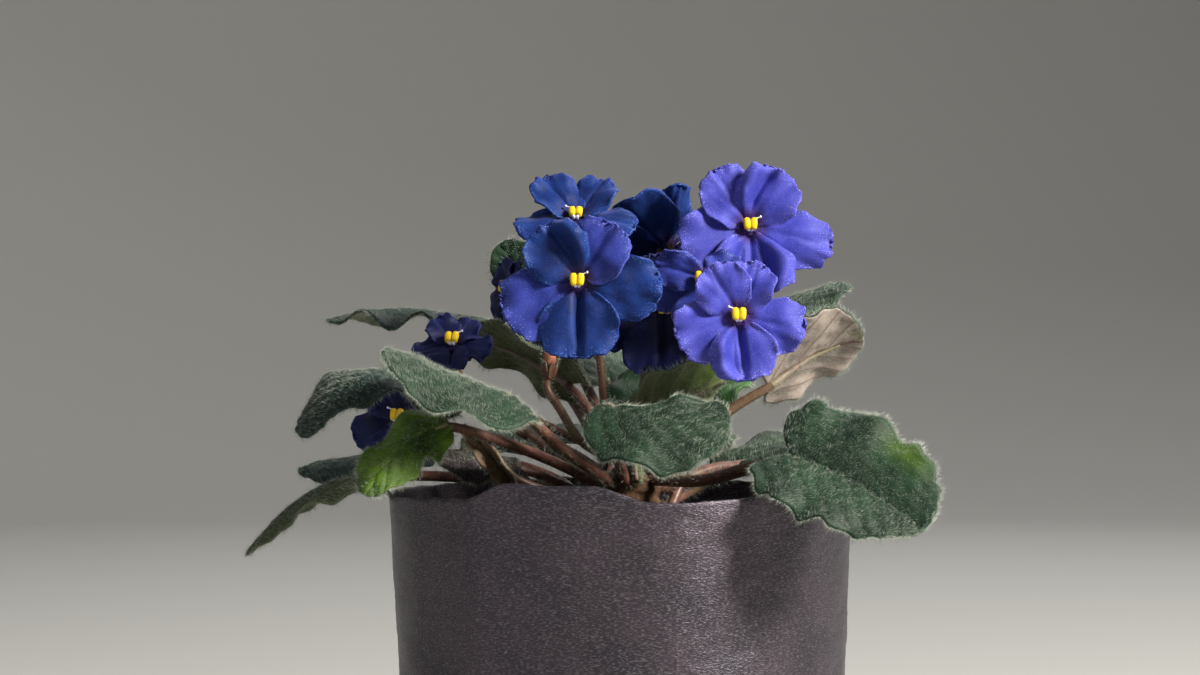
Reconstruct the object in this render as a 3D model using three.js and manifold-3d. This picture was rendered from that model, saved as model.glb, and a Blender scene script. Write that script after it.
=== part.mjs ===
// A potted African violet in bloom, in a crinkled paper pot cover.
// Millimetres, +Z up. The origin is the middle of the flat foot that it stands on, and -Y is its front.
import * as THREE from 'three';
import { mergeVertices } from 'three/addons/utils/BufferGeometryUtils.js';
import Module from 'manifold-3d';

const wasm = await Module();
wasm.setup();

// Driving dimensions
const COVER_HEIGHT = 115;
const COVER_TOP_RADIUS = 65.3;
const COVER_FOOT_RADIUS = 59;
const COVER_WALL = 1.4;
const POT_HEIGHT = 105;
const POT_RIM_RADIUS = 59.5;
const POT_FOOT_RADIUS = 47;
const POT_WALL = 1.6;
const SOIL_LEVEL = 100;
const CROWN_RADIUS = 7.5;
const CROWN_TOP = 122.5;
const ROOT_RADIUS = 6.3;
const CROWN_X = 4;
const CROWN_Y = 2;
const BLADE_THICKNESS = 0.8;
const PETAL_THICKNESS = 0.7;
const BLOOM_RADIUS = 20;
const CLEAR = 0.3;

const rad = THREE.MathUtils.degToRad;
const vec = (p) => new THREE.Vector3(...p);

// Colours and finishes
const finish = (color, roughness, metalness = 0) => {
  return new THREE.MeshStandardMaterial({ color, roughness, metalness, flatShading: true });
};
const PAPER = finish(0x4a464b, 0.55, 0.35);
const PLASTIC = finish(0x2b2b2c, 0.6);
const SOIL = finish(0x2a1d14, 1);
const CROWN = finish(0x7c5a3c, 0.8);
const LEAF = finish(0x2f5a3a, 0.8);
const WITHERED = finish(0x5b4448, 0.85);
const PETAL = finish(0x4a43b8, 0.65);
const ANTHER = finish(0xf0c21a, 0.6);
const STALK = finish(0x8a5a48, 0.75);

const plant = new THREE.Group();

function place(name, geometry, material) {
  const mesh = new THREE.Mesh(geometry, material);
  mesh.name = name;
  plant.add(mesh);
}

// Joining and cutting closed solids
function solid(geometry) {
  const bare = new THREE.BufferGeometry();
  bare.setAttribute('position', geometry.getAttribute('position'));
  if (geometry.index) bare.setIndex(geometry.index);
  const merged = mergeVertices(bare, 1e-4);
  return new wasm.Manifold(new wasm.Mesh({
    numProp: 3,
    vertProperties: new Float32Array(merged.getAttribute('position').array),
    triVerts: new Uint32Array(merged.index.array),
  }));
}

// The largest closed body, without any loose scrap that a join has left
function shape(manifold) {
  const bodies = manifold.decompose().sort((a, b) => b.volume() - a.volume());
  const mesh = bodies[0].getMesh();
  const geometry = new THREE.BufferGeometry();
  geometry.setAttribute('position', new THREE.BufferAttribute(new Float32Array(mesh.vertProperties), 3));
  geometry.setIndex(new THREE.BufferAttribute(new Uint32Array(mesh.triVerts), 1));
  return geometry;
}

function fused(geometries) {
  return geometries.map(solid).reduce((whole, piece) => whole.add(piece));
}

// A round stem along a smooth path, with a radius that changes evenly from its root to its end
function stem(points, rootRadius, endRadius, steps, sides = 6) {
  const path = new THREE.CatmullRomCurve3(points, false, 'centripetal');
  const frames = path.computeFrenetFrames(steps);
  const positions = [];
  const index = [];
  for (let i = 0; i <= steps; i += 1) {
    const centre = path.getPointAt(i / steps);
    const radius = rootRadius + (endRadius - rootRadius) * (i / steps);
    for (let k = 0; k < sides; k += 1) {
      const turn = (2 * Math.PI * k) / sides;
      const point = centre.clone();
      point.addScaledVector(frames.normals[i], radius * Math.cos(turn));
      point.addScaledVector(frames.binormals[i], radius * Math.sin(turn));
      positions.push(...point.toArray());
    }
  }
  for (let i = 0; i < steps; i += 1) {
    for (let k = 0; k < sides; k += 1) {
      const a = i * sides + k;
      const b = i * sides + ((k + 1) % sides);
      index.push(a, b, b + sides, a, b + sides, a + sides);
    }
  }
  const last = steps * sides;
  for (let k = 1; k < sides - 1; k += 1) {
    index.push(0, k + 1, k);
    index.push(last, last + k, last + k + 1);
  }
  const geometry = new THREE.BufferGeometry();
  geometry.setAttribute('position', new THREE.Float32BufferAttribute(positions, 3));
  geometry.setIndex(index);
  return geometry;
}

// An outline of radius and height, from bottom to top, spun round the Z axis
function lathe(profile, sides) {
  return new THREE.LatheGeometry(profile.map(([radius, height]) => new THREE.Vector2(radius, height)), sides)
    .rotateX(Math.PI / 2);
}

// The middle line of a blade: a smooth bow from its base through its middle to its tip
function ribCurve(rib) {
  const [base, middle, tip] = rib.map(vec);
  const pull = middle.clone().multiplyScalar(2).addScaledVector(base, -0.5).addScaledVector(tip, -0.5);
  return new THREE.QuadraticBezierCurve3(base, pull, tip);
}

// Where the point (along, out) of a flat blade comes to lie once the blade is bowed, folded and waved.
// along is the distance from its base, and out the distance from its middle line, right side positive.
function bentPoint(blade, along, out) {
  const share = along / blade.length;
  const held = THREE.MathUtils.clamp(share, 0, 1);
  const point = blade.curve.getPoint(held);
  const forward = blade.curve.getTangent(held);
  point.addScaledVector(forward, (share - held) * blade.length);
  const up = vec(blade.face);
  up.addScaledVector(forward, -up.dot(forward)).normalize();
  const right = forward.clone().cross(up);
  const side = out < 0 ? 0 : 1;
  const reach = Math.abs(out);
  const fold = rad(blade.fold[side]);
  const turn = rad(blade.curl[side]) / blade.width[side] || 1e-6;
  const across = (Math.sin(fold + turn * reach) - Math.sin(fold)) / turn;
  let lift = (Math.cos(fold) - Math.cos(fold + turn * reach)) / turn;
  const [height, count, start] = blade.wave;
  const ripple = Math.sin(2 * Math.PI * (count * share + start + 0.37 * side));
  lift += height * (reach / blade.width[side]) ** 2 * ripple;
  point.addScaledVector(right, (side ? 1 : -1) * across);
  return point.addScaledVector(up, lift);
}

// The flat outline: u runs from base to tip, v from the middle line to the edge, and tooth stretches the edge
function flatPoint(blade, u, v, side, tooth) {
  const spread = Math.sqrt(Math.max(0, 1 - (2 * u ** blade.bulge - 1) ** 2));
  const share = spread * v * (1 + tooth);
  const lobe = blade.lobe * share ** 1.5 * (1 - u) ** 3;
  const sweep = blade.sweep * v * u * (1 - u);
  return [blade.length * (u - lobe + sweep), (side ? 1 : -1) * blade.width[side] * share];
}

function bladeVertex(blade, u, v, side, tooth = 0) {
  const [along, out] = flatPoint(blade, u, v, side, tooth);
  const step = 0.02 * blade.length;
  const nudge = side ? 0.5 : -0.5;
  const point = bentPoint(blade, along, out);
  const ahead = bentPoint(blade, along + step, out).sub(bentPoint(blade, along - step, out));
  const beside = bentPoint(blade, along, out + nudge).sub(bentPoint(blade, along, Math.abs(out) < 0.5 ? 0 : out));
  if (!side) beside.negate();
  const normal = ahead.cross(beside).negate().normalize();
  if (v === 0) normal.copy(ribNormal(blade, along));
  return { point, normal };
}

function ribNormal(blade, along) {
  const forward = blade.curve.getTangent(THREE.MathUtils.clamp(along / blade.length, 0, 1));
  const up = vec(blade.face);
  return up.addScaledVector(forward, -up.dot(forward)).normalize();
}

// Rows lie closer together near both ends, where the outline is round
const rowShare = (t) => 0.4 * t + 0.3 * (1 - Math.cos(Math.PI * t));

// A thin leaf or petal blade as one closed sheet. Its edge has twice the points of its inside, so that
// it can be toothed, and both faces are split into triangles alike.
function bladeSheet(blade) {
  const { rows, bands, tooth, thickness } = blade;
  const vertices = [];
  const add = (u, v, side, cut) => vertices.push(bladeVertex(blade, u, v, side, cut)) - 1;
  const middle = [];
  for (let i = 0; i <= rows; i += 1) middle.push(add(rowShare(i / rows), 0, 1));
  const faces = [];
  const edges = [];
  for (const side of [1, 0]) {
    const columns = [middle];
    for (let c = 1; c < bands; c += 1) {
      const column = [middle[0]];
      for (let i = 1; i < rows; i += 1) column.push(add(rowShare(i / rows), c / bands, side));
      columns.push([...column, middle[rows]]);
    }
    const edge = [middle[0]];
    for (let j = 1; j < 2 * rows; j += 1) edge.push(add(rowShare(j / (2 * rows)), 1, side, j % 2 ? tooth : -tooth));
    edge.push(middle[rows]);
    const half = [];
    for (let c = 0; c < bands - 1; c += 1) {
      const [inner, outer] = [columns[c], columns[c + 1]];
      for (let i = 0; i < rows; i += 1) {
        half.push([inner[i], outer[i], outer[i + 1]]);
        half.push([inner[i], outer[i + 1], inner[i + 1]]);
      }
    }
    const rim = columns[bands - 1];
    for (let i = 0; i < rows; i += 1) {
      half.push([rim[i], edge[2 * i], edge[2 * i + 1]]);
      half.push([rim[i], edge[2 * i + 1], rim[i + 1]]);
      half.push([rim[i + 1], edge[2 * i + 1], edge[2 * i + 2]]);
    }
    const whole = half.filter(([a, b, c]) => a !== b && b !== c && a !== c);
    faces.push(...(side ? whole : whole.map(([a, b, c]) => [a, c, b])));
    edges.push(side ? edge : [...edge].reverse());
  }
  const count = vertices.length;
  const positions = [];
  for (const half of [0.5, -0.5]) {
    for (const { point, normal } of vertices) {
      positions.push(...point.clone().addScaledVector(normal, half * thickness).toArray());
    }
  }
  const index = [];
  for (const [a, b, c] of faces) {
    index.push(a, b, c);
    index.push(a + count, c + count, b + count);
  }
  for (const edge of edges) {
    for (let i = 0; i < edge.length - 1; i += 1) {
      const [a, b] = [edge[i], edge[i + 1]];
      index.push(a, a + count, b + count, a, b + count, b);
    }
  }
  const geometry = new THREE.BufferGeometry();
  geometry.setAttribute('position', new THREE.Float32BufferAttribute(positions, 3));
  geometry.setIndex(index);
  return geometry;
}

const LEAF_BLADE = {
  bulge: 0.72,
  lobe: 0.42,
  sweep: 0.3,
  rows: 8,
  bands: 2,
  tooth: 0.03,
  thickness: BLADE_THICKNESS,
};

// Where a stem leaves the crown: an angle round it and a height
function crownPoint([azimuth, height], radius = ROOT_RADIUS) {
  const turn = rad(azimuth);
  return new THREE.Vector3(CROWN_X + radius * Math.cos(turn), CROWN_Y + radius * Math.sin(turn), height);
}

// Leaves. root: angle round the crown and height. stalk: points that the leaf stalk passes through.
// rib: base, middle and tip of the middle line. face: where the upper face looks. width, fold and curl:
// the left half, then the right half, seen from the base. wave: height, count and start of the edge's waves.
const LEAVES = [
  {
    name: 'leaf_right_low',
    root: [-42, 118],
    stalk: [[22, -18, 118.5], [37, -40, 123.5]],
    rib: [[45.5, -49, 126.5], [61, -58, 119.5], [78, -68, 108]],
    face: [0.1, -0.8, 0.6],
    width: [20, 20],
    fold: [18, 22],
    curl: [-20, -20],
    wave: [2.3, 2, 0.36],
    lobe: 0.28,
    thick: 2.2,
    bands: 3,
  },
  {
    name: 'leaf_left_front',
    root: [-140, 118],
    stalk: [[-4.5, -10, 119], [-17, -26, 128.5]],
    rib: [[-29, -40, 142], [-44, -50, 147.5], [-63, -54, 154.5]],
    face: [0.15, -0.35, 0.93],
    width: [17, 20],
    fold: [-6, -12],
    curl: [-15, -15],
    wave: [1.5, 2, 0.1],
    thick: 2.1,
    bands: 3,
  },
  {
    name: 'leaf_left_low',
    root: [-160, 114],
    stalk: [[-8, -5, 117.5], [-27, -24, 127.5]],
    rib: [[-46, -42, 135], [-58, -50, 129.5], [-67, -56, 116.5]],
    face: [-0.45, -0.8, 0.4],
    width: [8, 10],
    fold: [-30, -5],
    curl: [-20, -20],
    wave: [2, 2, 0.4],
    lobe: 0.1,
    bands: 3,
  },
  {
    name: 'leaf_left_middle',
    root: [160, 114],
    stalk: [[-17, 2, 124], [-35, -9, 136]],
    rib: [[-50, -20, 142.5], [-71, -28, 147.5], [-87, -31, 131]],
    face: [-0.15, -0.3, 0.94],
    width: [12, 20],
    fold: [-5, -5],
    curl: [-25, -15],
    wave: [2, 2, 0.6],
    bands: 3,
  },
  {
    name: 'leaf_left_drooping',
    root: [172, 109],
    stalk: [[-20, 3.5, 115.5], [-50, 5, 118.5], [-62, 5, 118.5]],
    rib: [[-70, 5, 118], [-88, 8, 114], [-107, 12, 96]],
    face: [-0.4, -0.1, 0.9],
    width: [9, 10],
    fold: [-12, -10],
    curl: [-20, -20],
    wave: [1.5, 2, 0.2],
  },
  {
    name: 'leaf_back_left_high',
    root: [122, 115],
    stalk: [[-4, 17, 122], [-17, 30, 144]],
    rib: [[-35, 36, 159], [-60, 43, 166], [-87, 48, 163]],
    face: [0, -0.12, 1],
    width: [18, 18],
    fold: [4, -6],
    curl: [-15, -20],
    wave: [3.5, 2.6, 0.3],
  },
  {
    name: 'leaf_left_high',
    root: [-178, 118],
    stalk: [[-4, 3, 125], [-8, 8, 136]],
    rib: [[-14, 11, 145], [-32, 13, 155], [-53, 14, 161]],
    face: [0.3, 0.5, 0.8],
    width: [14, 13],
    fold: [0, 10],
    curl: [-20, -20],
    wave: [2, 2, 0.1],
  },
  {
    name: 'leaf_back_left_upright',
    root: [144, 118],
    stalk: [[-4, 13, 131], [-9, 20, 143]],
    rib: [[-16, 26, 156], [-26, 33, 171], [-35, 38, 186]],
    face: [-0.2, -0.9, 0.2],
    width: [9, 10],
    fold: [10, 10],
    curl: [-20, -20],
    wave: [1.5, 2, 0.3],
    rows: 6,
  },
  {
    name: 'leaf_right_high',
    root: [6, 115.5],
    stalk: [[18, 4, 124], [31, 6, 137]],
    rib: [[42, 8, 144.5], [56, 13, 153.5], [70, 14, 157.5]],
    face: [-0.4, 0.6, 0.7],
    width: [12, 15],
    fold: [5, 5],
    curl: [-25, 20],
    wave: [1.5, 2, 0.3],
    lobe: 0.2,
    bands: 3,
  },
  {
    name: 'leaf_front',
    root: [-104, 118],
    stalk: [[0.5, -9, 121], [-3, -24, 130]],
    rib: [[-4, -35, 139], [11, -46, 139.5], [29, -46, 134]],
    face: [0.1, -0.5, 0.85],
    width: [10, 20],
    fold: [-14, -16],
    curl: [-15, -15],
    wave: [2, 2, 0.7],
    lobe: 0.12,
    bands: 3,
  },
  {
    name: 'leaf_left_under',
    root: [150, 105.4],
    stalk: [[-17, 19, 116.5], [-40, 26, 123.5]],
    rib: [[-57, 27, 125], [-75, 29, 123], [-94, 29, 119]],
    face: [0, -0.2, 1],
    width: [14, 14],
    fold: [-5, -5],
    curl: [-20, -20],
    wave: [1.5, 2, 0.2],
    thick: 1.7,
    rows: 6,
  },
  {
    name: 'leaf_left_withered',
    root: [-150, 109],
    stalk: [[-9, -4, 113], [-21, -8, 119]],
    rib: [[-29, -10, 122.5], [-39, -15, 124.5], [-50, -20, 123.5]],
    face: [0, -0.45, 0.9],
    width: [11, 11],
    fold: [0, -5],
    curl: [-30, -30],
    wave: [1.2, 2, 0.2],
    thick: 1.7,
    rows: 6,
  },
  {
    name: 'leaf_left_folded',
    root: [-112, 110],
    stalk: [[-6, -10, 113.5], [-20, -18, 115.5]],
    rib: [[-30, -23, 119.5], [-36, -27, 127], [-43, -29, 134]],
    face: [-0.5, -0.7, 0.3],
    width: [4.5, 4.5],
    fold: [50, 50],
    curl: [0, 0],
    wave: [0.6, 2, 0.2],
    thick: 1.6,
    rows: 5,
    bands: 2,
  },
  {
    name: 'leaf_front_right_folded',
    root: [-4, 119],
    stalk: [[10, -6, 124], [8.5, -12, 130.5]],
    rib: [[9, -16, 134.5], [17.5, -20, 141], [29, -19, 146.5]],
    face: [-0.3, 0.6, 0.7],
    width: [11, 11],
    fold: [20, 20],
    curl: [-10, 20],
    wave: [1.2, 2, 0.2],
    thick: 1.7,
    rows: 6,
  },
  {
    name: 'leaf_behind_flowers',
    root: [78, 118],
    stalk: [[8, 13, 126]],
    rib: [[9, 18, 132], [12, 28, 141], [17, 38, 148]],
    face: [0, -0.7, 0.7],
    width: [15, 12],
    fold: [10, 10],
    curl: [-15, -15],
    wave: [1.5, 2, 0.5],
    rows: 6,
  },
  {
    name: 'leaf_back_right_high',
    root: [40, 118],
    stalk: [[17, 12, 131], [28, 20, 147]],
    rib: [[38, 26, 158], [52, 32, 168.5], [67, 38, 173.5]],
    face: [-0.3, -0.1, 0.9],
    width: [13, 14],
    fold: [5, -5],
    curl: [-15, -15],
    wave: [1.2, 2, 0.2],
    rows: 6,
  },
  {
    name: 'leaf_right_middle',
    root: [-4, 109.3],
    stalk: [[18, 6, 117], [27, 14, 120.5]],
    rib: [[35, 20, 122], [50, 28, 128], [67, 34, 126]],
    face: [-0.1, -0.15, 1],
    width: [14, 14],
    fold: [5, 5],
    curl: [-15, -15],
    wave: [1.5, 2, 0.3],
    rows: 7,
  },
  {
    name: 'leaf_back_left_low',
    root: [120, 109.5],
    stalk: [[-2, 22, 116], [-12, 36, 123]],
    rib: [[-20, 46, 127], [-30, 63, 130], [-39, 80, 122]],
    face: [-0.2, 0.2, 0.95],
    width: [20, 20],
    fold: [5, 5],
    curl: [-25, -25],
    wave: [1.8, 2, 0.3],
    rows: 7,
  },
  {
    name: 'leaf_back_low',
    root: [80, 109],
    stalk: [[6, 20, 115], [9, 36, 122]],
    rib: [[11, 48, 126], [15, 66, 128], [18, 85, 119]],
    face: [0, 0.3, 0.95],
    width: [19, 21],
    fold: [6, 6],
    curl: [-25, -25],
    wave: [1.8, 2, 0.7],
    rows: 7,
  },
  {
    name: 'leaf_back_right_low',
    root: [38, 109],
    stalk: [[17, 16, 112], [32, 32, 118]],
    rib: [[46, 44, 119.5], [58, 55, 121], [72, 66, 112]],
    face: [0.2, 0.1, 0.95],
    width: [19, 17],
    fold: [5, 5],
    curl: [-25, -25],
    wave: [1.8, 2, 0.2],
    rows: 7,
  },
  {
    name: 'leaf_back_right_inner',
    root: [46, 114],
    stalk: [[12, 17, 120], [18, 26, 129]],
    rib: [[22, 34, 135], [27, 45, 143], [32, 57, 146]],
    face: [-0.3, -0.1, 0.9],
    width: [12, 14],
    fold: [6, 6],
    curl: [-20, -20],
    wave: [1.5, 2, 0.4],
    rows: 6,
  },
  {
    name: 'leaf_back_inner',
    root: [84, 114],
    stalk: [[1, 18, 124], [-1, 28, 138]],
    rib: [[-3, 36, 145], [-7, 50, 152], [-11, 64, 153]],
    face: [0.1, -0.2, 0.95],
    width: [12, 16],
    fold: [6, 6],
    curl: [-20, -20],
    wave: [1.5, 2, 0.4],
    rows: 6,
  },
  {
    name: 'leaf_young',
    root: [-66, 119.5],
    stalk: [],
    rib: [[4.5, -7, 122.2], [3.5, -8, 125.5], [3, -7.5, 129]],
    face: [0, 1, 0.2],
    width: [2.4, 2.4],
    fold: [40, 40],
    curl: [0, 0],
    wave: [0, 1, 0],
    thick: 1,
    rows: 4,
  },
];

function leafParts(leaf) {
  const curve = ribCurve(leaf.rib);
  const blade = { ...LEAF_BLADE, ...leaf, curve, length: curve.getLength() };
  const thick = leaf.thick ?? 1.9;
  const under = ribNormal(blade, 0).multiplyScalar(-0.55 * thick);
  const points = [crownPoint(leaf.root)];
  if (leaf.stalk.length) points.push(crownPoint(leaf.root, CROWN_RADIUS + 2));
  points.push(...leaf.stalk.map(vec));
  for (const share of [0.02, 0.4]) {
    const hold = ribNormal(blade, share * blade.length).multiplyScalar(-0.5);
    points.push(curve.getPoint(share).add(share < 0.1 ? under : hold));
  }
  return { blade, points, thick };
}

const sockets = [];
for (const leaf of LEAVES) {
  const { blade, points, thick } = leafParts(leaf);
  const whole = fused([bladeSheet(blade), stem(points, thick, 0.7, 7, 5)]);
  sockets.push([points, thick]);
  place(leaf.name, shape(whole), leaf.name === 'leaf_left_withered' ? WITHERED : LEAF);
}

// Petals, clockwise from the top: the upper two are smaller than the lower three. turn: from the top to the
// right. fold and curl: the left half, then the right half, seen from the bloom's middle.
const PETALS = [
  { turn: 33, length: 0.86, width: 0.38, lift: 8, fold: [-2, -6], curl: [-12, -16], bulge: 1.5 },
  { turn: 102, length: 1.03, width: 0.47, lift: -5, fold: [-3, -3], curl: [-14, -14], bulge: 1.9 },
  { turn: 178, length: 1.02, width: 0.53, lift: 4, fold: [-12, -12], curl: [-8, -8], bulge: 1.9 },
  { turn: -112, length: 1.04, width: 0.48, lift: -4, fold: [-3, -3], curl: [-14, -14], bulge: 1.9 },
  { turn: -36, length: 0.86, width: 0.4, lift: 14, fold: [-6, 8], curl: [-16, -12], bulge: 1.5 },
];

// Blooms. middle: where the petals meet. face: where the bloom looks. roll: its turn to the right.
// size: its share of the full size. petals: what sets some of its petals apart.
const BLOOMS = [
  {
    name: 'front_left',
    middle: [-11.6, -32, 173.3],
    face: [-0.1, -0.98, 0.1],
    roll: 0,
    size: 1.04,
    petals: {
      1: { turn: 98, length: 1.1, width: 0.43, bulge: 1.7 },
      3: { turn: -117, length: 1.06 },
      4: { length: 0.81 },
    },
  },
  {
    name: 'top_left',
    middle: [-12.5, -4, 191.2],
    face: [0, -0.6, 0.8],
    roll: 0,
    size: 0.84,
    petals: { 0: { length: 0.95, width: 0.42, lift: 16 }, 4: { length: 0.95, width: 0.42, lift: 20 } },
  },
  {
    name: 'top_right',
    middle: [36.3, -3, 189.4],
    face: [0.1, -0.95, 0.15],
    roll: 0,
    size: 1.05,
    petals: {
      0: { turn: 31, length: 0.83, width: 0.42, lift: 14, fold: [8, -6] },
      1: { turn: 106, length: 1.16, width: 0.37, bulge: 1.5 },
      2: { length: 0.95, width: 0.58 },
      3: { turn: -111, length: 0.98, width: 0.44 },
      4: { turn: -31, width: 0.33, lift: 8, fold: [-6, -2] },
    },
  },
  {
    name: 'front_right',
    middle: [31.6, -36, 164],
    face: [0.05, -0.98, 0.1],
    roll: 0,
    size: 0.92,
    petals: {
      0: { turn: 22, length: 0.82, width: 0.32 },
      1: { turn: 104, length: 1, width: 0.42 },
      2: { turn: 174, length: 0.97, width: 0.49 },
      3: { turn: -114, length: 0.98, width: 0.47 },
      4: { turn: -30, length: 0.81, width: 0.36 },
    },
  },
  {
    name: 'middle_right',
    middle: [23.4, -18, 174.2],
    face: [-0.4, -0.88, 0.1],
    roll: 0,
    size: 0.85,
    petals: {
      0: { turn: 52, length: 0.56, width: 0.32, lift: -35 },
      1: { turn: 112, length: 0.9 },
      3: { turn: -104, length: 1.02, width: 0.42 },
      4: { turn: -74, length: 0.82, width: 0.32, lift: 18 },
    },
  },
  {
    name: 'middle_low',
    middle: [12.2, 4, 167.5],
    face: [0.2, -0.85, -0.45],
    roll: 0,
    size: 1.05,
    petals: { 0: { length: 0.75 } },
  },
  { name: 'left_high', middle: [-46.8, -8, 156.2], face: [-0.1, -0.7, 0.7], roll: 0, size: 0.55, petals: {} },
  { name: 'left_low', middle: [-62.6, 6, 135], face: [-0.3, -0.85, 0.4], roll: 0, size: 0.7, petals: {} },
  { name: 'left_shaded', middle: [-31, 6, 171.8], face: [-0.85, -0.45, 0.25], roll: 0, size: 0.52, petals: {} },
  {
    name: 'top_back',
    middle: [13.5, 14, 184],
    face: [-0.1, 0.85, 0.5],
    roll: 0,
    size: 1,
    petals: {
      0: { turn: 42, length: 1, width: 0.55, lift: 0 },
      1: { turn: 98, length: 1.05, width: 0.5 },
      4: { turn: -12, length: 0.9, width: 0.28, lift: 18, fold: [30, 30] },
    },
  },
];

function bloomFrame(bloom) {
  const face = vec(bloom.face).normalize();
  const up = new THREE.Vector3(0, 0, 1);
  up.addScaledVector(face, -up.dot(face)).normalize();
  up.applyAxisAngle(face, -rad(bloom.roll));
  return { middle: vec(bloom.middle), face, up, right: up.clone().cross(face) };
}

// Turns a shape made round the Z axis at the origin to stand at a point and look along a direction
function aim(geometry, at, face) {
  const turn = new THREE.Quaternion().setFromUnitVectors(new THREE.Vector3(0, 0, 1), face);
  return geometry.applyQuaternion(turn).translate(...at.toArray());
}

function petal(bloom, frame, { turn, length, width, lift, fold, curl, bulge }, order) {
  const full = BLOOM_RADIUS * bloom.size;
  const outward = frame.up.clone().multiplyScalar(Math.cos(rad(turn)));
  outward.addScaledVector(frame.right, Math.sin(rad(turn)));
  const at = (share, rise) => {
    const point = frame.middle.clone().addScaledVector(outward, share * full);
    return point.addScaledVector(frame.face, rise * full).toArray();
  };
  const tilt = Math.sin(rad(lift));
  const rib = [at(0.07, -0.01), at(0.5 * length, 0.5 * length * tilt + 0.04), at(length, length * tilt - 0.03)];
  const curve = ribCurve(rib);
  return bladeSheet({
    curve,
    length: curve.getLength(),
    face: frame.face.toArray(),
    width: [width * full, width * full],
    fold,
    curl,
    wave: [1.1, 1.6, 0.21 * order + bloom.size],
    bulge,
    lobe: 0,
    sweep: 0.1,
    rows: bloom.size < 0.6 ? 2 : 3,
    bands: 1,
    tooth: 0.035,
    thickness: PETAL_THICKNESS,
  });
}

// The bloom's short tube, as radius and height from where the petals meet, to the raised mouth that bears the anthers
const TUBE_MOUTH = 0.7;
const TUBE = [[0, -5], [1.5, -5], [3.1, 0.3], [0, TUBE_MOUTH]];

function corolla(bloom) {
  const frame = bloomFrame(bloom);
  const tube = aim(lathe(TUBE, 5), frame.middle, frame.face);
  const petals = PETALS.map((one, order) => petal(bloom, frame, { ...one, ...bloom.petals[order] }, order));
  return fused([tube, ...petals]);
}

function antherPair(bloom) {
  const { middle, face, right } = bloomFrame(bloom);
  const lobes = [-0.85, 0.85].map((shift) => {
    const lobe = new THREE.OctahedronGeometry(1, 0).scale(1.4, 1.4, 1.8);
    const at = middle.clone().addScaledVector(face, TUBE_MOUTH + CLEAR + 1.3).addScaledVector(right, shift);
    return lobe.translate(...at.toArray());
  });
  return fused(lobes);
}

for (const bloom of BLOOMS) {
  place(`corolla_${bloom.name}`, shape(corolla(bloom)), PETAL);
  place(`anthers_${bloom.name}`, shape(antherPair(bloom)), ANTHER);
}

// Flower stalks. root: angle round the crown's top. stem: points up to the fork. Each branch goes through its
// own points to the back of a bloom, or ends in a bud.
const STALKS = [
  {
    name: 'stalk_left',
    root: -68,
    stem: [[-2.5, -5, 129], [-4.3, -7, 138], [-5.7, -8, 152]],
    branches: [
      { via: [[-8, -12, 165]], bloom: 'front_left' },
      { via: [[-9, -2, 166]], bloom: 'top_left' },
      { via: [[-12, 4, 160]], bloom: 'left_shaded' },
    ],
  },
  {
    name: 'stalk_bud',
    root: -128,
    stem: [[-4, -6, 125], [-11.2, -12, 129.5], [-16.8, -10, 138], [-20.5, -8, 144], [-19.7, -8, 151]],
    branches: [],
  },
  {
    name: 'stalk_right',
    root: -20,
    stem: [[10, 2, 129], [19, 2, 141], [24, 0, 152]],
    branches: [
      { via: [[27, -10, 149], [30, -24, 155]], bloom: 'front_right' },
      { via: [[26, -8, 164]], bloom: 'middle_right' },
      { via: [[28, 6, 165]], bloom: 'top_right' },
    ],
  },
  {
    name: 'stalk_middle',
    root: 50,
    stem: [[6, 8, 131], [7, 16, 146], [7, 20, 156]],
    branches: [
      { via: [[7, 20, 167]], bloom: 'middle_low' },
      { via: [[15, 15, 168]], bloom: 'top_back' },
    ],
  },
  {
    name: 'stalk_left_low',
    root: -172,
    stem: [[-6, -2, 126.5], [-25, -1, 135], [-42, 4, 140]],
    branches: [
      { via: [], bloom: 'left_high' },
      { via: [[-50, 12, 135]], bloom: 'left_low' },
    ],
  },
];
const STALK_RADIUS = 1.4;
const BRANCH_RADIUS = 0.9;
const TUBE_LENGTH = 5;
const CALYX_LENGTH = 4;

function stalkParts({ root, stem: points, branches }) {
  const turn = rad(root);
  const foot = (height) => new THREE.Vector3(CROWN_X + 3.4 * Math.cos(turn), CROWN_Y + 3.4 * Math.sin(turn), height);
  const main = [foot(CROWN_TOP - 2.2), foot(CROWN_TOP + 1.5), ...points.map(vec)];
  const pieces = [stem(main, STALK_RADIUS, 1.1, 7, 5)];
  const fork = main[main.length - 1];
  for (const { via, bloom } of branches) {
    const { middle, face } = bloomFrame(BLOOMS.find((one) => one.name === bloom));
    const behind = (distance) => middle.clone().addScaledVector(face, -distance);
    const end = TUBE_LENGTH + CLEAR;
    const start = fork.clone().lerp(main[main.length - 2], 0.04);
    pieces.push(stem([start, ...via.map(vec), behind(end + 4), behind(end + 1)], BRANCH_RADIUS, 0.8, 6, 5));
    const calyx = [[0, -CALYX_LENGTH], [0.9, -CALYX_LENGTH], [2.8, 0], [0, 0]];
    pieces.push(aim(lathe(calyx, 5), behind(end), face));
  }
  if (!branches.length) {
    const bud = new THREE.SphereGeometry(1, 6, 5).scale(2.6, 2.6, 4).translate(fork.x, fork.y, fork.z + 2);
    pieces.push(bud);
  }
  return { main, pieces };
}

for (const stalk of STALKS) {
  const { main, pieces } = stalkParts(stalk);
  sockets.push([main, STALK_RADIUS]);
  place(stalk.name, shape(fused(pieces)), STALK);
}

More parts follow.
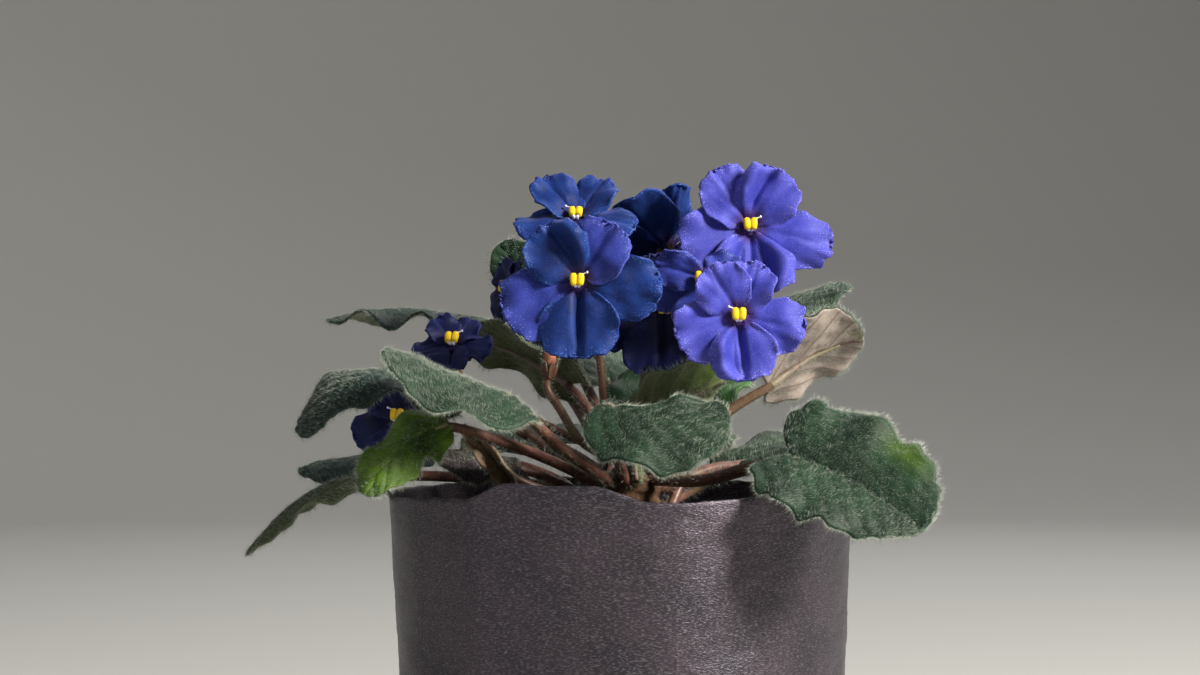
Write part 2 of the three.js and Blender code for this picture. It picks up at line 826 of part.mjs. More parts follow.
// The crown: the short stem that all leaf and flower stalks grow from, with a plain socket for each
const CROWN_FOOT = 88;
function crownBody(grow = 0) {
  const outline = [[0, CROWN_FOOT], [4.5, CROWN_FOOT], [6, SOIL_LEVEL], [CROWN_RADIUS, 104], [CROWN_RADIUS, 118]];
  outline.push([6.6, 120.5], [4, 122], [0, CROWN_TOP]);
  const profile = outline.map(([radius, height], i) => {
    return [radius ? radius + grow : 0, height + (i < 2 ? -grow : 0)];
  });
  return lathe(profile, 12).translate(CROWN_X, CROWN_Y, 0);
}

let crown = solid(crownBody());
for (const [points, radius] of sockets) {
  const stub = points.slice(0, 2).map((point) => point.clone());
  stub.unshift(stub[0].clone().addScaledVector(stub[1].clone().sub(stub[0]).normalize(), -CLEAR));
  crown = crown.subtract(solid(stem(stub, radius + 3 * CLEAR, radius + 3 * CLEAR, 1, 5)));
}
place('crown', shape(crown), CROWN);

// Soil: a low mound with a lumpy top, and a plain hole for the crown
const SOIL_SIDES = 24;
const SOIL_RINGS = [[5, 103], [11, 103], [22, 101.6], [36, 100.4], [49, 99.6]];

function soilBody() {
  const floor = COVER_WALL + CLEAR + POT_WALL + CLEAR;
  const inside = (height) => potRadius(height) - POT_WALL - CLEAR;
  const profile = [[0, floor], [inside(floor), floor], [inside(SOIL_LEVEL - 1.5), SOIL_LEVEL - 1.5]];
  profile.push(...[...SOIL_RINGS].reverse(), [0, 103.4]);
  const geometry = lathe(profile, SOIL_SIDES);
  const points = geometry.getAttribute('position');
  for (let i = 0; i < points.count; i += 1) {
    const [x, y, z] = [points.getX(i), points.getY(i), points.getZ(i)];
    const reach = Math.hypot(x, y);
    if (z > SOIL_LEVEL - 1 && reach > 1) {
      points.setZ(i, z + 0.7 * Math.sin(0.33 * x + 1.3) * Math.cos(0.29 * y) + 0.3 * Math.sin(0.9 * x - 0.7 * y));
    }
  }
  return geometry;
}

// The plain plastic pot inside the cover: a tapered wall, a lip round its rim and a drain hole in its floor
const POT_FLOOR = COVER_WALL + CLEAR;
const DRAIN_RADIUS = 6;
function potRadius(height) {
  const share = (height - POT_FLOOR) / (POT_HEIGHT - POT_FLOOR);
  return POT_FOOT_RADIUS + (POT_RIM_RADIUS - 2 - POT_FOOT_RADIUS) * share;
}

function potBody() {
  const lip = POT_HEIGHT - 8;
  const profile = [
    [DRAIN_RADIUS, POT_FLOOR],
    [POT_FOOT_RADIUS, POT_FLOOR],
    [potRadius(lip), lip],
    [POT_RIM_RADIUS, lip],
    [POT_RIM_RADIUS, POT_HEIGHT],
    [potRadius(POT_HEIGHT) - POT_WALL, POT_HEIGHT],
    [potRadius(POT_FLOOR + POT_WALL) - POT_WALL, POT_FLOOR + POT_WALL],
    [DRAIN_RADIUS, POT_FLOOR + POT_WALL],
    [DRAIN_RADIUS, POT_FLOOR],
  ];
  return lathe(profile, SOIL_SIDES);
}

place('soil', shape(solid(soilBody()).subtract(solid(crownBody(CLEAR)))), SOIL);
place('nursery_pot', potBody(), PLASTIC);

// The paper cover: a sleeve with a flat floor. It has one sharp upright fold, a shallow dent beside it, and a
// rim that stands up above the front left.
const COVER_SIDES = 44;
const FOLD_AT = -126;
const DENT_AT = -92;
const RIM_RISE = 4.4;
const fade = (value, from, to) => THREE.MathUtils.smoothstep(value, from, to);
const bump = (angle, at, width) => {
  const off = THREE.MathUtils.euclideanModulo(angle - at + 180, 360) - 180;
  return Math.exp(-((off / width) ** 2));
};

function rimHeight(angle) {
  const rise = fade(angle, -128, -117) * (1 - fade(angle, -98, -82));
  const droop = 1.2 * bump(angle, 178, 45);
  return COVER_HEIGHT + RIM_RISE * rise - droop + 0.35 * Math.sin(rad(5 * angle)) + 0.2 * Math.sin(rad(11 * angle));
}

function coverRadius(angle, height) {
  const share = height / COVER_HEIGHT;
  const plain = COVER_FOOT_RADIUS + (COVER_TOP_RADIUS - COVER_FOOT_RADIUS) * share;
  const fold = 1.1 * bump(angle, FOLD_AT, 5) - 0.5 * bump(angle, FOLD_AT - 16, 9);
  const dent = -0.9 * bump(angle, DENT_AT, 11) * fade(share, 0.2, 0.9);
  const belly = 0.6 * bump(angle, 0, 40) * bump(360 * share, 210, 60);
  return plain + Math.min(1, 3 * share) * (fold + dent) + belly + 0.35 * Math.sin(rad(3 * angle + 40));
}

function coverBody() {
  const rings = [];
  for (const share of [0, 0.06, 0.35, 0.62, 0.86, 1]) rings.push([share, 0]);
  for (const share of [1, 0.8, 0.4]) rings.push([share, COVER_WALL]);
  rings.push([0, COVER_WALL]);
  const positions = [];
  const index = [];
  for (const [share, wall] of rings) {
    for (let k = 0; k < COVER_SIDES; k += 1) {
      const angle = THREE.MathUtils.euclideanModulo(FOLD_AT + (360 * k) / COVER_SIDES + 180, 360) - 180;
      const height = share ? share * rimHeight(angle) : wall;
      const rounding = share || wall ? 0 : 1.5;
      const radius = coverRadius(angle, height) - wall - rounding;
      positions.push(radius * Math.cos(rad(angle)), radius * Math.sin(rad(angle)), height);
    }
  }
  const centre = positions.length / 3;
  positions.push(0, 0, 0, 0, 0, COVER_WALL);
  for (let k = 0; k < COVER_SIDES; k += 1) {
    const next = (k + 1) % COVER_SIDES;
    for (let ring = 0; ring < rings.length - 1; ring += 1) {
      const [a, b] = [ring * COVER_SIDES + k, ring * COVER_SIDES + next];
      index.push(a, b, b + COVER_SIDES, a, b + COVER_SIDES, a + COVER_SIDES);
    }
    const top = (rings.length - 1) * COVER_SIDES;
    index.push(centre, next, k, centre + 1, top + k, top + next);
  }
  const geometry = new THREE.BufferGeometry();
  geometry.setAttribute('position', new THREE.Float32BufferAttribute(positions, 3));
  geometry.setIndex(index);
  return geometry;
}

place('pot_cover', coverBody(), PAPER);

export default plant;
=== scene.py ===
# %% [markdown]
# # A potted African violet
# The real thing is a rosette of hairy leaves with ten blue and violet blooms, growing from one short crown
# in a plain pot, with a sleeve of dark crinkled paper round it. The CAD solids give every leaf, bloom and
# stalk its place and its bow. Here each of them is made again in its fine form: veins, toothed edges,
# ruffled petals and hairs. Lengths are typed in millimetres and turned to metres where a mesh is made.

# %% The frame
import math

import bpy
import numpy as np
from mathutils import Matrix, Vector, noise


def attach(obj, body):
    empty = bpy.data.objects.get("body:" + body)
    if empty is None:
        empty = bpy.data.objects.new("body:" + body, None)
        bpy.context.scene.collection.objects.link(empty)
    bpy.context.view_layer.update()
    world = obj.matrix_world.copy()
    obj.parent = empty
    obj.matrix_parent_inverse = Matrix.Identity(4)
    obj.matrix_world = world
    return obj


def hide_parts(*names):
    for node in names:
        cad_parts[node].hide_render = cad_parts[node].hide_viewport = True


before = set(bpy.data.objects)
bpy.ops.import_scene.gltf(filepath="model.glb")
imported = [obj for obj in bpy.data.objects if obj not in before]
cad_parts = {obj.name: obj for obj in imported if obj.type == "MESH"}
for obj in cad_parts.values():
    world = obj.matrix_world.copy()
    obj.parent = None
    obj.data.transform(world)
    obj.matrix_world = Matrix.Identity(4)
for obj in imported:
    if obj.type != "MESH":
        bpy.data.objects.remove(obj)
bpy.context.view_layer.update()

MM = 0.001

# %% [markdown]
# ## Camera
# The photograph was taken level, from straight in front. The pot's rim is seen as a very flat ellipse,
# which puts the lens a little above the rim, and the pot's foot is below the picture. An 85 mm lens at
# 80 cm gives the blooms their size in the picture.

# %% Camera
CAMERA_AT = (-5.65, -800, 158)
LENS, SENSOR_WIDTH, NEAREST_SEEN = 85, 36, 10
bpy.ops.object.camera_add(location=Vector(CAMERA_AT) * MM, rotation=(math.radians(90), 0, 0))
camera = bpy.context.object
camera.name = "camera_level_front"
camera.data.lens = LENS
camera.data.sensor_width = SENSOR_WIDTH
camera.data.clip_start = NEAREST_SEEN * MM
bpy.context.scene.camera = camera
print("Camera stands", CAMERA_AT, "mm from the pot's foot")

# %% [markdown]
# ## Helpers for meshes
# Operators act on whatever is selected, so everything is deselected before a primitive is added. A blade
# is easiest as a flat grid whose points are then laid where a formula says, because a leaf is a sheet
# that is bowed, folded and waved. Pulling such a sheet about by hand would never match its solid.

# %% Adding a primitive and placing its points
MERGE, FINE_MERGE = 0.01, 0.001


def fresh():
    bpy.ops.object.select_all(action="DESELECT")


def grid_sheet(name, points, attributes):
    """A grid primitive whose points are laid at points[row, column], in millimetres."""
    rows, columns = points.shape[0] - 1, points.shape[1] - 1
    fresh()
    bpy.ops.mesh.primitive_grid_add(x_subdivisions=columns, y_subdivisions=rows, size=1)
    sheet = bpy.context.object
    sheet.name = name
    mesh = sheet.data
    mesh.vertices.foreach_set("co", (points * MM).ravel())
    for key, values in attributes.items():
        mesh.attributes.new(key, "FLOAT", "POINT").data.foreach_set("value", values.ravel())
    return sheet


def merge_ends():
    """On the sheet made last, a row of points that a tip or base draws together becomes one point."""
    bpy.ops.object.mode_set(mode="EDIT")
    bpy.ops.mesh.select_all(action="SELECT")
    bpy.ops.mesh.remove_doubles(threshold=MERGE * MM)
    bpy.ops.object.mode_set(mode="OBJECT")


def thicken(sheet, thickness, under=0):
    """A wall of this thickness. under is how many slots further on its lower face finds its material."""
    solidify = sheet.modifiers.new("thickness", "SOLIDIFY")
    solidify.thickness = thickness * MM
    solidify.offset = 0
    solidify.material_offset = under
    bpy.ops.object.modifier_apply(modifier=solidify.name)


def joined(name, pieces):
    """The pieces as one smooth mesh."""
    fresh()
    for piece in pieces:
        piece.select_set(True)
    bpy.context.view_layer.objects.active = pieces[0]
    if len(pieces) > 1:
        bpy.ops.object.join()
    whole = bpy.context.object
    whole.name = name
    whole.data.name = name
    bpy.ops.object.shade_smooth()
    return whole


def settle(piece, node):
    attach(piece, "root")
    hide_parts(node)


# %% Smooth paths, as the solids' stems follow them, and round stems along them
PER_SPAN = 7
STEM_ROUNDNESS = 3


def smooth_path(points):
    """A centripetal Catmull-Rom curve through the points."""
    points = np.array(points, float)
    first, last = 2 * points[0] - points[1], 2 * points[-1] - points[-2]
    held = np.vstack([first, points, last])
    path = []
    for p0, p1, p2, p3 in zip(held, held[1:], held[2:], held[3:]):
        t0, t1, t2 = [max(np.linalg.norm(b - a), 1e-4) ** 0.5 for a, b in ((p0, p1), (p1, p2), (p2, p3))]
        start = ((p1 - p0) / t0 - (p2 - p0) / (t0 + t1) + (p2 - p1) / t1) * t1
        end = ((p2 - p1) / t1 - (p3 - p1) / (t1 + t2) + (p3 - p2) / t2) * t1
        for t in np.arange(PER_SPAN) / PER_SPAN:
            pull = 3 * (p2 - p1) - 2 * start - end
            path.append(p1 + start * t + pull * t ** 2 + (start + end - 2 * (p2 - p1)) * t ** 3)
    return np.array(path + [points[-1]])


def path_lengths(path):
    """How far along the path each of its points lies."""
    return np.concatenate([[0], np.cumsum(np.linalg.norm(np.diff(path, axis=0), axis=1))])


def read_along(path, total, at):
    """Points of the path at these lengths along it. total is its path_lengths."""
    return np.stack([np.interp(at, total, path[:, k]) for k in range(3)], axis=1)


def tube(name, path, radii, material):
    """A round stem: a curve with a bevel, as thick at each point as the radii say."""
    fresh()
    bpy.ops.curve.primitive_bezier_curve_add()
    stem = bpy.context.object
    stem.name = name
    curve = stem.data
    curve.splines.clear()
    spline = curve.splines.new("POLY")
    spline.points.add(len(path) - 1)
    for point, at, radius in zip(spline.points, path, radii):
        point.co = (*(at * MM), 1)
        point.radius = radius
    curve.dimensions = "3D"
    curve.bevel_depth = MM
    curve.bevel_resolution = STEM_ROUNDNESS
    curve.use_fill_caps = True
    bpy.ops.object.convert(target="MESH")
    stem.data.materials.clear()
    stem.data.materials.append(material)
    return stem


# %% [markdown]
# ## Helpers for materials
# Every finish is made of nodes. Colours are written as a painter would note them, as sRGB hex values, and
# one function turns them to the linear light that the shader needs. Another adds a node, sets it and
# links it, so that a finish reads as a list of what is laid over what.

# %% Colours and nodes


def linear(code):
    """An sRGB hex colour as linear red, green, blue and alpha."""
    shares = [int(code[i:i + 2], 16) / 255 for i in (1, 3, 5)]
    return (*[c / 12.92 if c <= 0.04045 else ((c + 0.055) / 1.055) ** 2.4 for c in shares], 1)


def add(tree, kind, values=None, give=None, **settings):
    """A node with its settings, its sockets set to a value or linked to another node's socket, and the
    output that give names handed on. Without give, the node itself is."""
    made = tree.nodes.new(kind)
    for key, value in settings.items():
        setattr(made, key, value)
    for socket, value in (values or {}).items():
        if isinstance(value, bpy.types.NodeSocket):
            tree.links.new(value, made.inputs[socket])
        else:
            made.inputs[socket].default_value = value
    return made if give is None else made.outputs[give]


def finish(name, **sockets):
    """A new material, its node tree and its shader, with sockets such as Roughness set."""
    material = bpy.data.materials.new(name)
    material.use_nodes = True
    tree = material.node_tree
    shader = tree.nodes["Principled BSDF"]
    for socket, value in sockets.items():
        shader.inputs[socket.replace("_", " ")].default_value = value
    return material, tree, shader


# The sockets of a Mix node that mixes colours
FACTOR, FIRST, SECOND, MIXED = 0, 6, 7, 2
COLOURS = dict(data_type="RGBA")


def per_mm(size):
    """A pattern's scale for features of this size in millimetres."""
    return 1 / (size * MM)


# %% [markdown]
# ## Leaf skin
# An African violet's leaf is dark green and velvety: short white hairs stand all over it, and light
# catches them as a grey bloom. Its veins are sunk in the upper face and raised on the lower one, which is
# paler. A vein is finer than the blade's mesh, so the mesh only carries the numbers that the vein lines are
# drawn from: a count that is whole on each side vein, and the distance from the rib. It also carries how
# near the edge is, for a pale rim that is partly denser hairs and partly painted rim light, and a painted
# glow of light shining through. Real mesh hairs come later, and fine pale flecks here stand for those
# between them.

# %% Upper and lower faces of a leaf
# The second colour is the yellow green of painted light shining through the blade
HAIR_SHEEN, PAINTED_LIT_THROUGH = "#dfe8dc", "#5a7a10"


def leaf_face(name, deep, light, vein, hair, hair_share, sheen=0.1):
    material, tree, shader = finish(
        name, Roughness=0.6, Sheen_Weight=sheen, Sheen_Roughness=0.4, Subsurface_Weight=0.1,
        Subsurface_Scale=1.2 * MM, Specular_IOR_Level=0.3)
    shader.inputs["Sheen Tint"].default_value = linear(HAIR_SHEEN)
    shader.inputs["Subsurface Radius"].default_value = (0.5, 1.0, 0.25)
    place = add(tree, "ShaderNodeTexCoord", give="Object")
    patches = add(tree, "ShaderNodeTexNoise", {"Vector": place, "Scale": per_mm(11), "Detail": 4.0}, "Fac")
    tone = add(tree, "ShaderNodeMapRange", {"Value": patches, "From Min": 0.35, "From Max": 0.68}, "Result")
    ground = add(tree, "ShaderNodeMix", {FACTOR: tone, FIRST: linear(deep), SECOND: linear(light)}, MIXED, **COLOURS)
    step = add(tree, "ShaderNodeAttribute", give="Fac", attribute_name="step")
    off = add(tree, "ShaderNodeMath", {0: step, 1: 0.5}, "Value", operation="PINGPONG")
    side = add(tree, "ShaderNodeMapRange", {"Value": off, "From Min": 0.08, "From Max": 0.02, "To Max": 0.7}, "Result")
    rib = add(tree, "ShaderNodeAttribute", give="Fac", attribute_name="middle")
    middle = add(tree, "ShaderNodeMapRange", {"Value": rib, "From Min": 0.8, "From Max": 0.3}, "Result")
    cells = add(tree, "ShaderNodeTexVoronoi", {"Vector": place, "Scale": per_mm(2.6)}, "Distance",
                feature="DISTANCE_TO_EDGE")
    net = add(tree, "ShaderNodeMapRange", {
        "Value": cells, "From Min": 0.08, "From Max": 0.01, "To Max": 0.25}, "Result")
    lines = add(tree, "ShaderNodeMath", {0: side, 1: middle}, "Value", operation="MAXIMUM")
    lines = add(tree, "ShaderNodeMath", {0: lines, 1: net}, "Value", operation="MAXIMUM")
    flecks = add(tree, "ShaderNodeTexNoise", {"Vector": place, "Scale": per_mm(0.26), "Detail": 2.0}, "Fac")
    mask = add(tree, "ShaderNodeMapRange", {
        "Value": flecks, "From Min": 0.5, "From Max": 0.75, "To Max": hair_share}, "Result")
    # The pale rim is partly denser edge hairs and partly painted rim light
    edge = add(tree, "ShaderNodeAttribute", give="Fac", attribute_name="edge")
    rim = add(tree, "ShaderNodeMapRange", {"Value": edge, "From Min": 0.3, "From Max": 1.0, "To Max": 0.3}, "Result")
    # Painted light: a yellow green glow where light would shine through the blade
    painted_glow = add(tree, "ShaderNodeAttribute", give="Fac", attribute_name="painted_glow")
    for share, colour in ((lines, vein), (mask, hair), (rim, hair), (painted_glow, PAINTED_LIT_THROUGH)):
        ground = add(tree, "ShaderNodeMix", {FACTOR: share, FIRST: ground, SECOND: linear(colour)}, MIXED, **COLOURS)
    tree.links.new(ground, shader.inputs["Base Color"])
    pores = add(tree, "ShaderNodeBump", {"Height": flecks, "Strength": 0.35, "Distance": 0.2 * MM}, "Normal")
    tree.links.new(pores, shader.inputs["Normal"])
    return material


# %% The leaf faces: dark ground, light ground, veins, hairs and the share of hairs
SKINS = {
    "velvet": leaf_face("leaf_upper_dark_velvet", "#0b1f12", "#15351d", "#16301d", "#425d4b", 0.3, 0.12),
    "deep": leaf_face("leaf_upper_deep_green", "#0d2315", "#1a3b22", "#18361f", "#48604c", 0.25),
    "teal": leaf_face("leaf_upper_teal", "#0a1f1b", "#132e28", "#132b26", "#42594f", 0.25),
    "yellow": leaf_face("leaf_upper_yellow_green", "#1a330b", "#5b7d10", "#436213", "#7b8f4a", 0.2),
    "olive": leaf_face("leaf_upper_olive", "#222f1a", "#454d30", "#364228", "#727c5d", 0.3),
    "bright": leaf_face("leaf_upper_bright_green", "#173b16", "#2f681c", "#367028", "#6a8a58", 0.2),
    "withered": leaf_face("leaf_upper_withered", "#201719", "#352a30", "#302526", "#5c5354", 0.3),
    "tan": leaf_face("leaf_upper_dried_tan", "#5c4733", "#826a52", "#4f3a2c", "#a08e7a", 0.25),
}
UNDERSIDES = {
    "green": leaf_face("leaf_lower_pale_green", "#434f36", "#667049", "#757756", "#98a083", 0.3),
    "pink": leaf_face("leaf_lower_pinkish", "#766c64", "#a09389", "#594540", "#bdb4a9", 0.3),
    "dull": leaf_face("leaf_lower_dull", "#3a2e2b", "#4f413a", "#332823", "#6a605a", 0.3),
}
print("Leaf faces:", len(SKINS) + len(UNDERSIDES))

# %% [markdown]
# ## Stalk skin and hairs
# Leaf stalks and flower stalks are reddish brown and juicy, with long clear hairs that light up at the
# outline. A hair is a thin glassy thread, far finer than a pixel, so it is a soft greenish white here.

# %% Skins with streaks, and with soft spots


def stalk_skin(name, dark, light, patch):
    material, tree, shader = finish(
        name, Roughness=0.4, Subsurface_Weight=0.15, Subsurface_Scale=1.5 * MM, Specular_IOR_Level=0.45)
    shader.inputs["Subsurface Radius"].default_value = (1.0, 0.45, 0.3)
    place = add(tree, "ShaderNodeTexCoord", give="Object")
    streaks = add(tree, "ShaderNodeTexNoise", {"Vector": place, "Scale": per_mm(2.4), "Detail": 5.0}, "Fac")
    share = add(tree, "ShaderNodeMapRange", {"Value": streaks, "From Min": 0.25, "From Max": 0.75}, "Result")
    ground = add(tree, "ShaderNodeMix", {FACTOR: share, FIRST: linear(dark), SECOND: linear(light)}, MIXED, **COLOURS)
    zones = add(tree, "ShaderNodeTexNoise", {"Vector": place, "Scale": per_mm(16), "Detail": 2.0}, "Fac")
    zone = add(tree, "ShaderNodeMapRange", {"Value": zones, "From Min": 0.5, "From Max": 0.66, "To Max": 0.6}, "Result")
    tinted = add(tree, "ShaderNodeMix", {FACTOR: zone, FIRST: ground, SECOND: linear(patch)}, MIXED, **COLOURS)
    tree.links.new(tinted, shader.inputs["Base Color"])
    bumps = add(tree, "ShaderNodeTexNoise", {"Vector": place, "Scale": per_mm(0.6)}, "Fac")
    skin = add(tree, "ShaderNodeBump", {"Height": bumps, "Strength": 0.3, "Distance": 0.2 * MM}, "Normal")
    tree.links.new(skin, shader.inputs["Normal"])
    return material


def two_tone(name, dark, light, size, **sockets):
    """A finish whose colour drifts between two tones in soft spots of this size."""
    material, tree, shader = finish(name, **sockets)
    place = add(tree, "ShaderNodeTexCoord", give="Object")
    tone = add(tree, "ShaderNodeTexNoise", {"Vector": place, "Scale": per_mm(size)}, "Fac")
    colour = add(tree, "ShaderNodeMix", {FACTOR: tone, FIRST: linear(dark), SECOND: linear(light)}, MIXED, **COLOURS)
    tree.links.new(colour, shader.inputs["Base Color"])
    return material


# %% The stalk skins, and the hairs' finish
LEAF_STALK = stalk_skin("leaf_stalk_pinkish_brown", "#48302a", "#7d5348", "#6b5a40")
LEAF_RIB = stalk_skin("leaf_rib_pale_buff", "#77665a", "#98887a", "#77754f")
FLOWER_STALK = stalk_skin("flower_stalk_brown_green", "#4b3328", "#765440", "#646a38")
HAIR = two_tone("plant_hair_clear_white", "#6c7a66", "#ccd4c4", 6, Roughness=0.45)
print("Stalk skins and hair are ready")

# %% [markdown]
# ## How a blade lies
# A leaf or petal is worked out flat first, as a distance along its middle line and a distance out from
# it. The flat sheet is then laid along a bowed rib, folded up or down at the rib, curled round, and
# waved towards its edges. These are the formulas that the solids were made with, with a few more numbers
# for the outline and many more points, so a fine blade lies where its solid does.

# %% The rib and the bent sheet
EDGE_SHIFT = 0.37  # a share of a wave: the right edge runs ahead of the left one


def fade(value, start, end):
    """From 0 at start to 1 at end, with a soft beginning and end."""
    t = np.clip((value - start) / (end - start), 0, 1)
    return t * t * (3 - 2 * t)


def bell(value, middle, width):
    """1 at the middle, with a soft fall on both sides."""
    return np.exp(-((value - middle) / width) ** 2)


def rib_curve(rib):
    """Base, pull point and tip of the smooth bow through the rib's three points, and its length."""
    base, middle, tip = [np.array(p, float) for p in rib]
    pull = 2 * middle - 0.5 * base - 0.5 * tip
    t = np.linspace(0, 1, 201)[:, None]
    line = (1 - t) ** 2 * base + 2 * t * (1 - t) * pull + t ** 2 * tip
    return (base, pull, tip), path_lengths(line)[-1]


def unit(vectors):
    return vectors / np.maximum(np.linalg.norm(vectors, axis=-1, keepdims=True), 1e-12)


def rib_frame(curve, share, face):
    """Point, forward and up along the rib."""
    base, pull, tip = curve
    t = np.clip(share, 0, 1)[..., None]
    point = (1 - t) ** 2 * base + 2 * t * (1 - t) * pull + t ** 2 * tip
    forward = unit(2 * (1 - t) * (pull - base) + 2 * t * (tip - pull))
    face = np.broadcast_to(np.array(face, float), forward.shape)
    up = unit(face - forward * np.sum(face * forward, axis=-1, keepdims=True))
    return point, forward, up


def bent(blade, along, out):
    """Where flat points come to lie once the blade is bowed, folded, curled and waved."""
    share = along / blade["length"]
    point, forward, up = rib_frame(blade["curve"], share, blade["face"])
    point = point + forward * ((share - np.clip(share, 0, 1)) * blade["length"])[..., None]
    right = np.cross(forward, up)
    side = (out >= 0).astype(int)
    width = np.array(blade["width"], float)[side]
    fold = np.radians(np.array(blade["fold"], float))[side]
    turn = np.radians(np.array(blade["curl"], float))[side] / width
    turn = np.where(np.abs(turn) < 1e-6, 1e-6, turn)
    reach = np.abs(out)
    across = (np.sin(fold + turn * reach) - np.sin(fold)) / turn
    lift = (np.cos(fold) - np.cos(fold + turn * reach)) / turn
    height, count, start = blade["wave"]
    lift = lift + height * (reach / width) ** 2 * np.sin(2 * np.pi * (count * share + start + EDGE_SHIFT * side))
    across = np.where(side == 1, across, -across)
    return point + right * across[..., None] + up * lift[..., None]


# %% The flat outline


def flat_grid(blade, rows, columns):
    """The outline as a grid of points: u runs from base to tip, v from the left edge to the right. Rows lie
    closer together at both ends, where the outline turns quickly."""
    t = np.linspace(0, 1, rows + 1)[:, None]
    v = np.linspace(-1, 1, columns + 1)[None, :]
    u = 0.4 * t + 0.3 * (1 - np.cos(np.pi * t)) + 0 * v
    v = v + 0 * t
    reach = np.abs(v)
    teeth = -blade["tooth"] * np.cos(2 * np.pi * blade["rows"] * (t + 0 * v)) * reach ** 5
    offset = 2 * u ** np.where(v < 0, *np.broadcast_to(blade["bulge"], 2)) - 1
    spread = np.sqrt(np.maximum(0, 1 - np.abs(offset) ** np.where(offset < 0, blade.get("plump", 2), 2)))
    share = spread * reach * (1 + teeth) * (1 - blade.get("point", 0) * u ** 5)
    lobe = np.where(v < 0, *np.broadcast_to(blade["lobe"], 2)) * share ** blade.get("cleft", 1.5) * (1 - u) ** 3
    sweep = blade["sweep"] * reach * u * (1 - u)
    along = blade["length"] * (u - lobe + sweep)
    width = np.where(v < 0, blade["width"][0], blade["width"][1])
    return u, v, along, np.sign(v) * width * share


def sheet_normals(points):
    """Where the sheet's upper face looks at each of its points."""
    normals = np.cross(np.gradient(points, axis=1), np.gradient(points, axis=0))
    return unit(normals)
